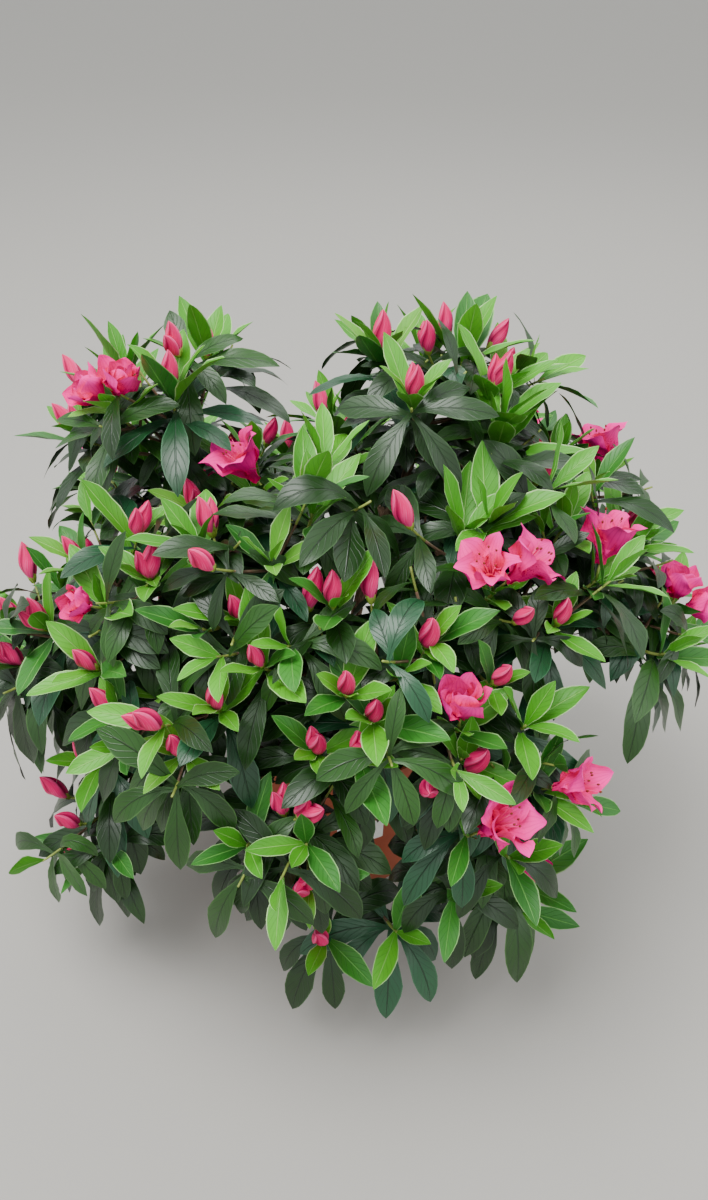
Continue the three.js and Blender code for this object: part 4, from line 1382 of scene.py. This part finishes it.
def add_young_leaves(shoot, whorl):
    """The young leaves round a shoot's tip, the inner ones smaller and more upright."""
    random = shoot.random
    shoot.turn = math.tau * random()
    shoot.vigour = between(whorl.vigours, random)
    young_pile = leaf_piles["young_leaves_pale" if random() < PALE_SHARE else "young_leaves_bright"]
    if random() < whorl.bare:
        return
    peak = mix(1, PEAK_VIGOUR, share_of_way(shoot.tip[2], PEAK_FOOT, PEAK_TOP))
    largest = YOUNG_LENGTH * shoot.vigour * peak
    count = whorl.young - round(LOW_YOUNG_LOSS * lowness(shoot))
    for i in range(count):
        share = (i + 0.5) / count
        turn = shoot.turn + (whorl.old + i) * GOLDEN_ANGLE
        length = largest * between(YOUNG_LENGTHS, random) * mix(*YOUNG_TAPER, share)
        lean = math.radians(mix(*YOUNG_LEANS, share) + YOUNG_LEAN_RANGE * (random() - 0.5))
        half_grown = random() < (1 - share) * mix(*HALF_GROWN_SHARES, lowness(shoot))
        pile = leaf_piles["half_grown_leaves"] if half_grown else young_pile
        width = length * YOUNG_SHAPE * between(YOUNG_WIDTHS, random)
        bend = between(YOUNG_BENDS, random)
        sag = between(YOUNG_SAGS, random)
        add_leaf(pile, young_blade, shoot, count - i, turn, lean, length, width, bend, sag, YOUNG_CUP)


def add_old_leaves(shoot, whorl):
    """The old leaves below them, which spread and droop, and hang lowest in the skirt of the crown."""
    random = shoot.random
    tint = random() * whorl.tints
    pile = leaf_piles[next(name for limit, name in OLD_TINTS if tint < limit)]
    for i in range(whorl.old):
        turn = shoot.turn + i * GOLDEN_ANGLE + OLD_TURN_RANGE * (random() - 0.5)
        length = OLD_LENGTH * shoot.vigour * between(OLD_LENGTHS, random)
        lean = math.radians(mix(*OLD_LEANS, i / whorl.old) + OLD_LEAN_RANGE * (random() - 0.5))
        width = length * OLD_SHAPE * between(OLD_WIDTHS, random)
        sag = between(OLD_SAGS, random) + lowness(shoot) * between(LOW_SAGS, random)
        number = whorl.old + whorl.young - i
        add_leaf(pile, old_blade, shoot, number, turn, lean, length, width, OLD_BEND, sag, OLD_CUP)


def leaf_skin(name, dark, light, vein_shade, rib_shade, margin_shade, roughness):
    """A leaf's waxy skin: two greens, sunken side veins and midrib, and a thin pale margin."""
    material, tree, shader = new_material(name, roughness, specular=0.45)
    spot = add_node(tree, "ShaderNodeTexCoord", {})
    at = (spot, "Object")
    patch = add_node(tree, "ShaderNodeTexNoise", {"Vector": at, "Scale": 1 / TONE_SIZE, "Detail": 3.0})
    green = add_node(tree, "ShaderNodeValToRGB", {"Fac": (patch, "Fac")}, [(0.35, dark), (0.65, light)])
    on_leaf = add_node(tree, "ShaderNodeSeparateXYZ", {"Vector": (spot, "UV")})
    centred = add_node(tree, "ShaderNodeMath", {0: (on_leaf, "X"), 1: 0.5}, operation="SUBTRACT")
    off = add_node(tree, "ShaderNodeMath", {0: (centred, "Value")}, operation="ABSOLUTE")
    near, far = MIDRIB_HALVES
    midrib = add_node(
        tree,
        "ShaderNodeMapRange",
        {"Value": (off, "Value"), "From Min": near, "From Max": far, "To Min": 1.0, "To Max": 0.0},
    )
    margin = add_node(
        tree,
        "ShaderNodeMapRange",
        {"Value": (off, "Value"), "From Min": MARGIN_FROM, "From Max": 0.5, "To Min": 0.0, "To Max": 1.0},
    )
    slant = add_node(tree, "ShaderNodeMath", {0: (off, "Value"), 1: VEIN_SLANT}, operation="MULTIPLY")
    row = add_node(tree, "ShaderNodeMath", {0: (on_leaf, "Y"), 1: (slant, "Value")}, operation="SUBTRACT")
    turns = math.tau * SIDE_VEINS
    angle = add_node(tree, "ShaderNodeMath", {0: (row, "Value"), 1: turns}, operation="MULTIPLY")
    wave = add_node(tree, "ShaderNodeMath", {0: (angle, "Value")}, operation="SINE")
    vein = add_node(
        tree,
        "ShaderNodeMapRange",
        {"Value": (wave, "Value"), "From Min": 0.8, "From Max": 1.0, "To Min": 0.0, "To Max": 0.35},
    )
    layers = [
        ((vein, "Result"), vein_shade),
        ((midrib, "Result"), rib_shade),
        ((margin, "Result"), margin_shade),
    ]
    skin = (green, "Color")
    for factor, shade in layers:
        inputs = {"Factor": factor, "A": skin, "B": linear(shade)}
        skin = (add_node(tree, "ShaderNodeMix", inputs, data_type="RGBA"), "Result")
    tree.links.new(skin[0].outputs["Result"], shader.inputs["Base Color"])
    lines = {0: (midrib, "Result"), 1: (vein, "Result")}
    deepest = add_node(tree, "ShaderNodeMath", lines, operation="MAXIMUM")
    sunk = add_node(tree, "ShaderNodeMath", {0: 1.0, 1: (deepest, "Value")}, operation="SUBTRACT")
    bump = add_node(tree, "ShaderNodeBump", {"Height": (sunk, "Value"), "Strength": 0.6, "Distance": 0.0008})
    tree.links.new(bump.outputs["Normal"], shader.inputs["Normal"])
    return material


for whorl, is_side in ((TIP_WHORL, False), (SIDE_WHORL, True)):
    leafy = [shoot for shoot in shoots if shoot.is_side == is_side]
    for shoot in leafy:
        add_young_leaves(shoot, whorl)
    for shoot in leafy:
        add_old_leaves(shoot, whorl)
for name, finish in LEAF_FINISHES.items():
    place(leaf_piles[name].piece(name, leaf_skin("leaf_" + name, *finish)), "foliage", *MASSES)

# Floor, light and camera
# A plain pale floor, wide soft lights on three sides, and the camera high in front, where it looks down.
FLOOR_SIZE = 30
SKY_STRENGTH = 1.35

# Each light is a square panel with a side in metres, a power in watts and a place.
LIGHTS = [
    ("key_panel", 1.6, 92, (-0.7, -0.6, 2.7)),
    ("fill_panel", 2.0, 16, (1.9, -0.8, 1.6)),
    ("back_panel", 1.6, 18, (0.4, 1.8, 2.0)),
]
LIGHTS_AIM = Vector((0, 0, 0.3))
CAMERA_PLACE = (0.0136, -0.756, 0.843)
CAMERA_DIP = math.radians(36.2)
CAMERA_LENS = 31.83
CAMERA_SENSOR = 36
CAMERA_SIGHT = 50

bpy.ops.object.select_all(action="DESELECT")
bpy.ops.mesh.primitive_plane_add(size=FLOOR_SIZE, location=(0, 0, 0))
floor = bpy.context.active_object
floor.name = "floor"
floor_material, _, floor_shader = new_material("floor_pale_plain", roughness=0.9, specular=0.2)
floor_shader.inputs["Base Color"].default_value = linear("#A9A6A0")
floor.data.materials.append(floor_material)
floor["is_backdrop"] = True

sky = bpy.data.worlds.new("soft_sky")
sky.use_nodes = True
background = sky.node_tree.nodes["Background"]
background.inputs["Color"].default_value = linear("#EDF0F2")
background.inputs["Strength"].default_value = SKY_STRENGTH
bpy.context.scene.world = sky

for name, size, watts, stand in LIGHTS:
    lamp = bpy.data.lights.new(name, "AREA")
    lamp.size = size
    lamp.energy = watts
    panel = bpy.data.objects.new(name, lamp)
    panel.location = stand
    panel.rotation_euler = (LIGHTS_AIM - Vector(stand)).to_track_quat("-Z", "Y").to_euler()
    bpy.context.scene.collection.objects.link(panel)

camera = bpy.data.objects.new("camera", bpy.data.cameras.new("camera"))
camera.data.sensor_width = CAMERA_SENSOR
camera.data.lens = CAMERA_LENS
camera.data.clip_end = CAMERA_SIGHT
camera.location = CAMERA_PLACE
camera.rotation_euler = (math.pi / 2 - CAMERA_DIP, 0, 0)
bpy.context.scene.collection.objects.link(camera)
bpy.context.scene.camera = camera

bpy.context.view_layer.update()
boxes = {"cad": cad_box, "visual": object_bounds()}
{name: [list(corner) for corner in box] for name, box in boxes.items()}
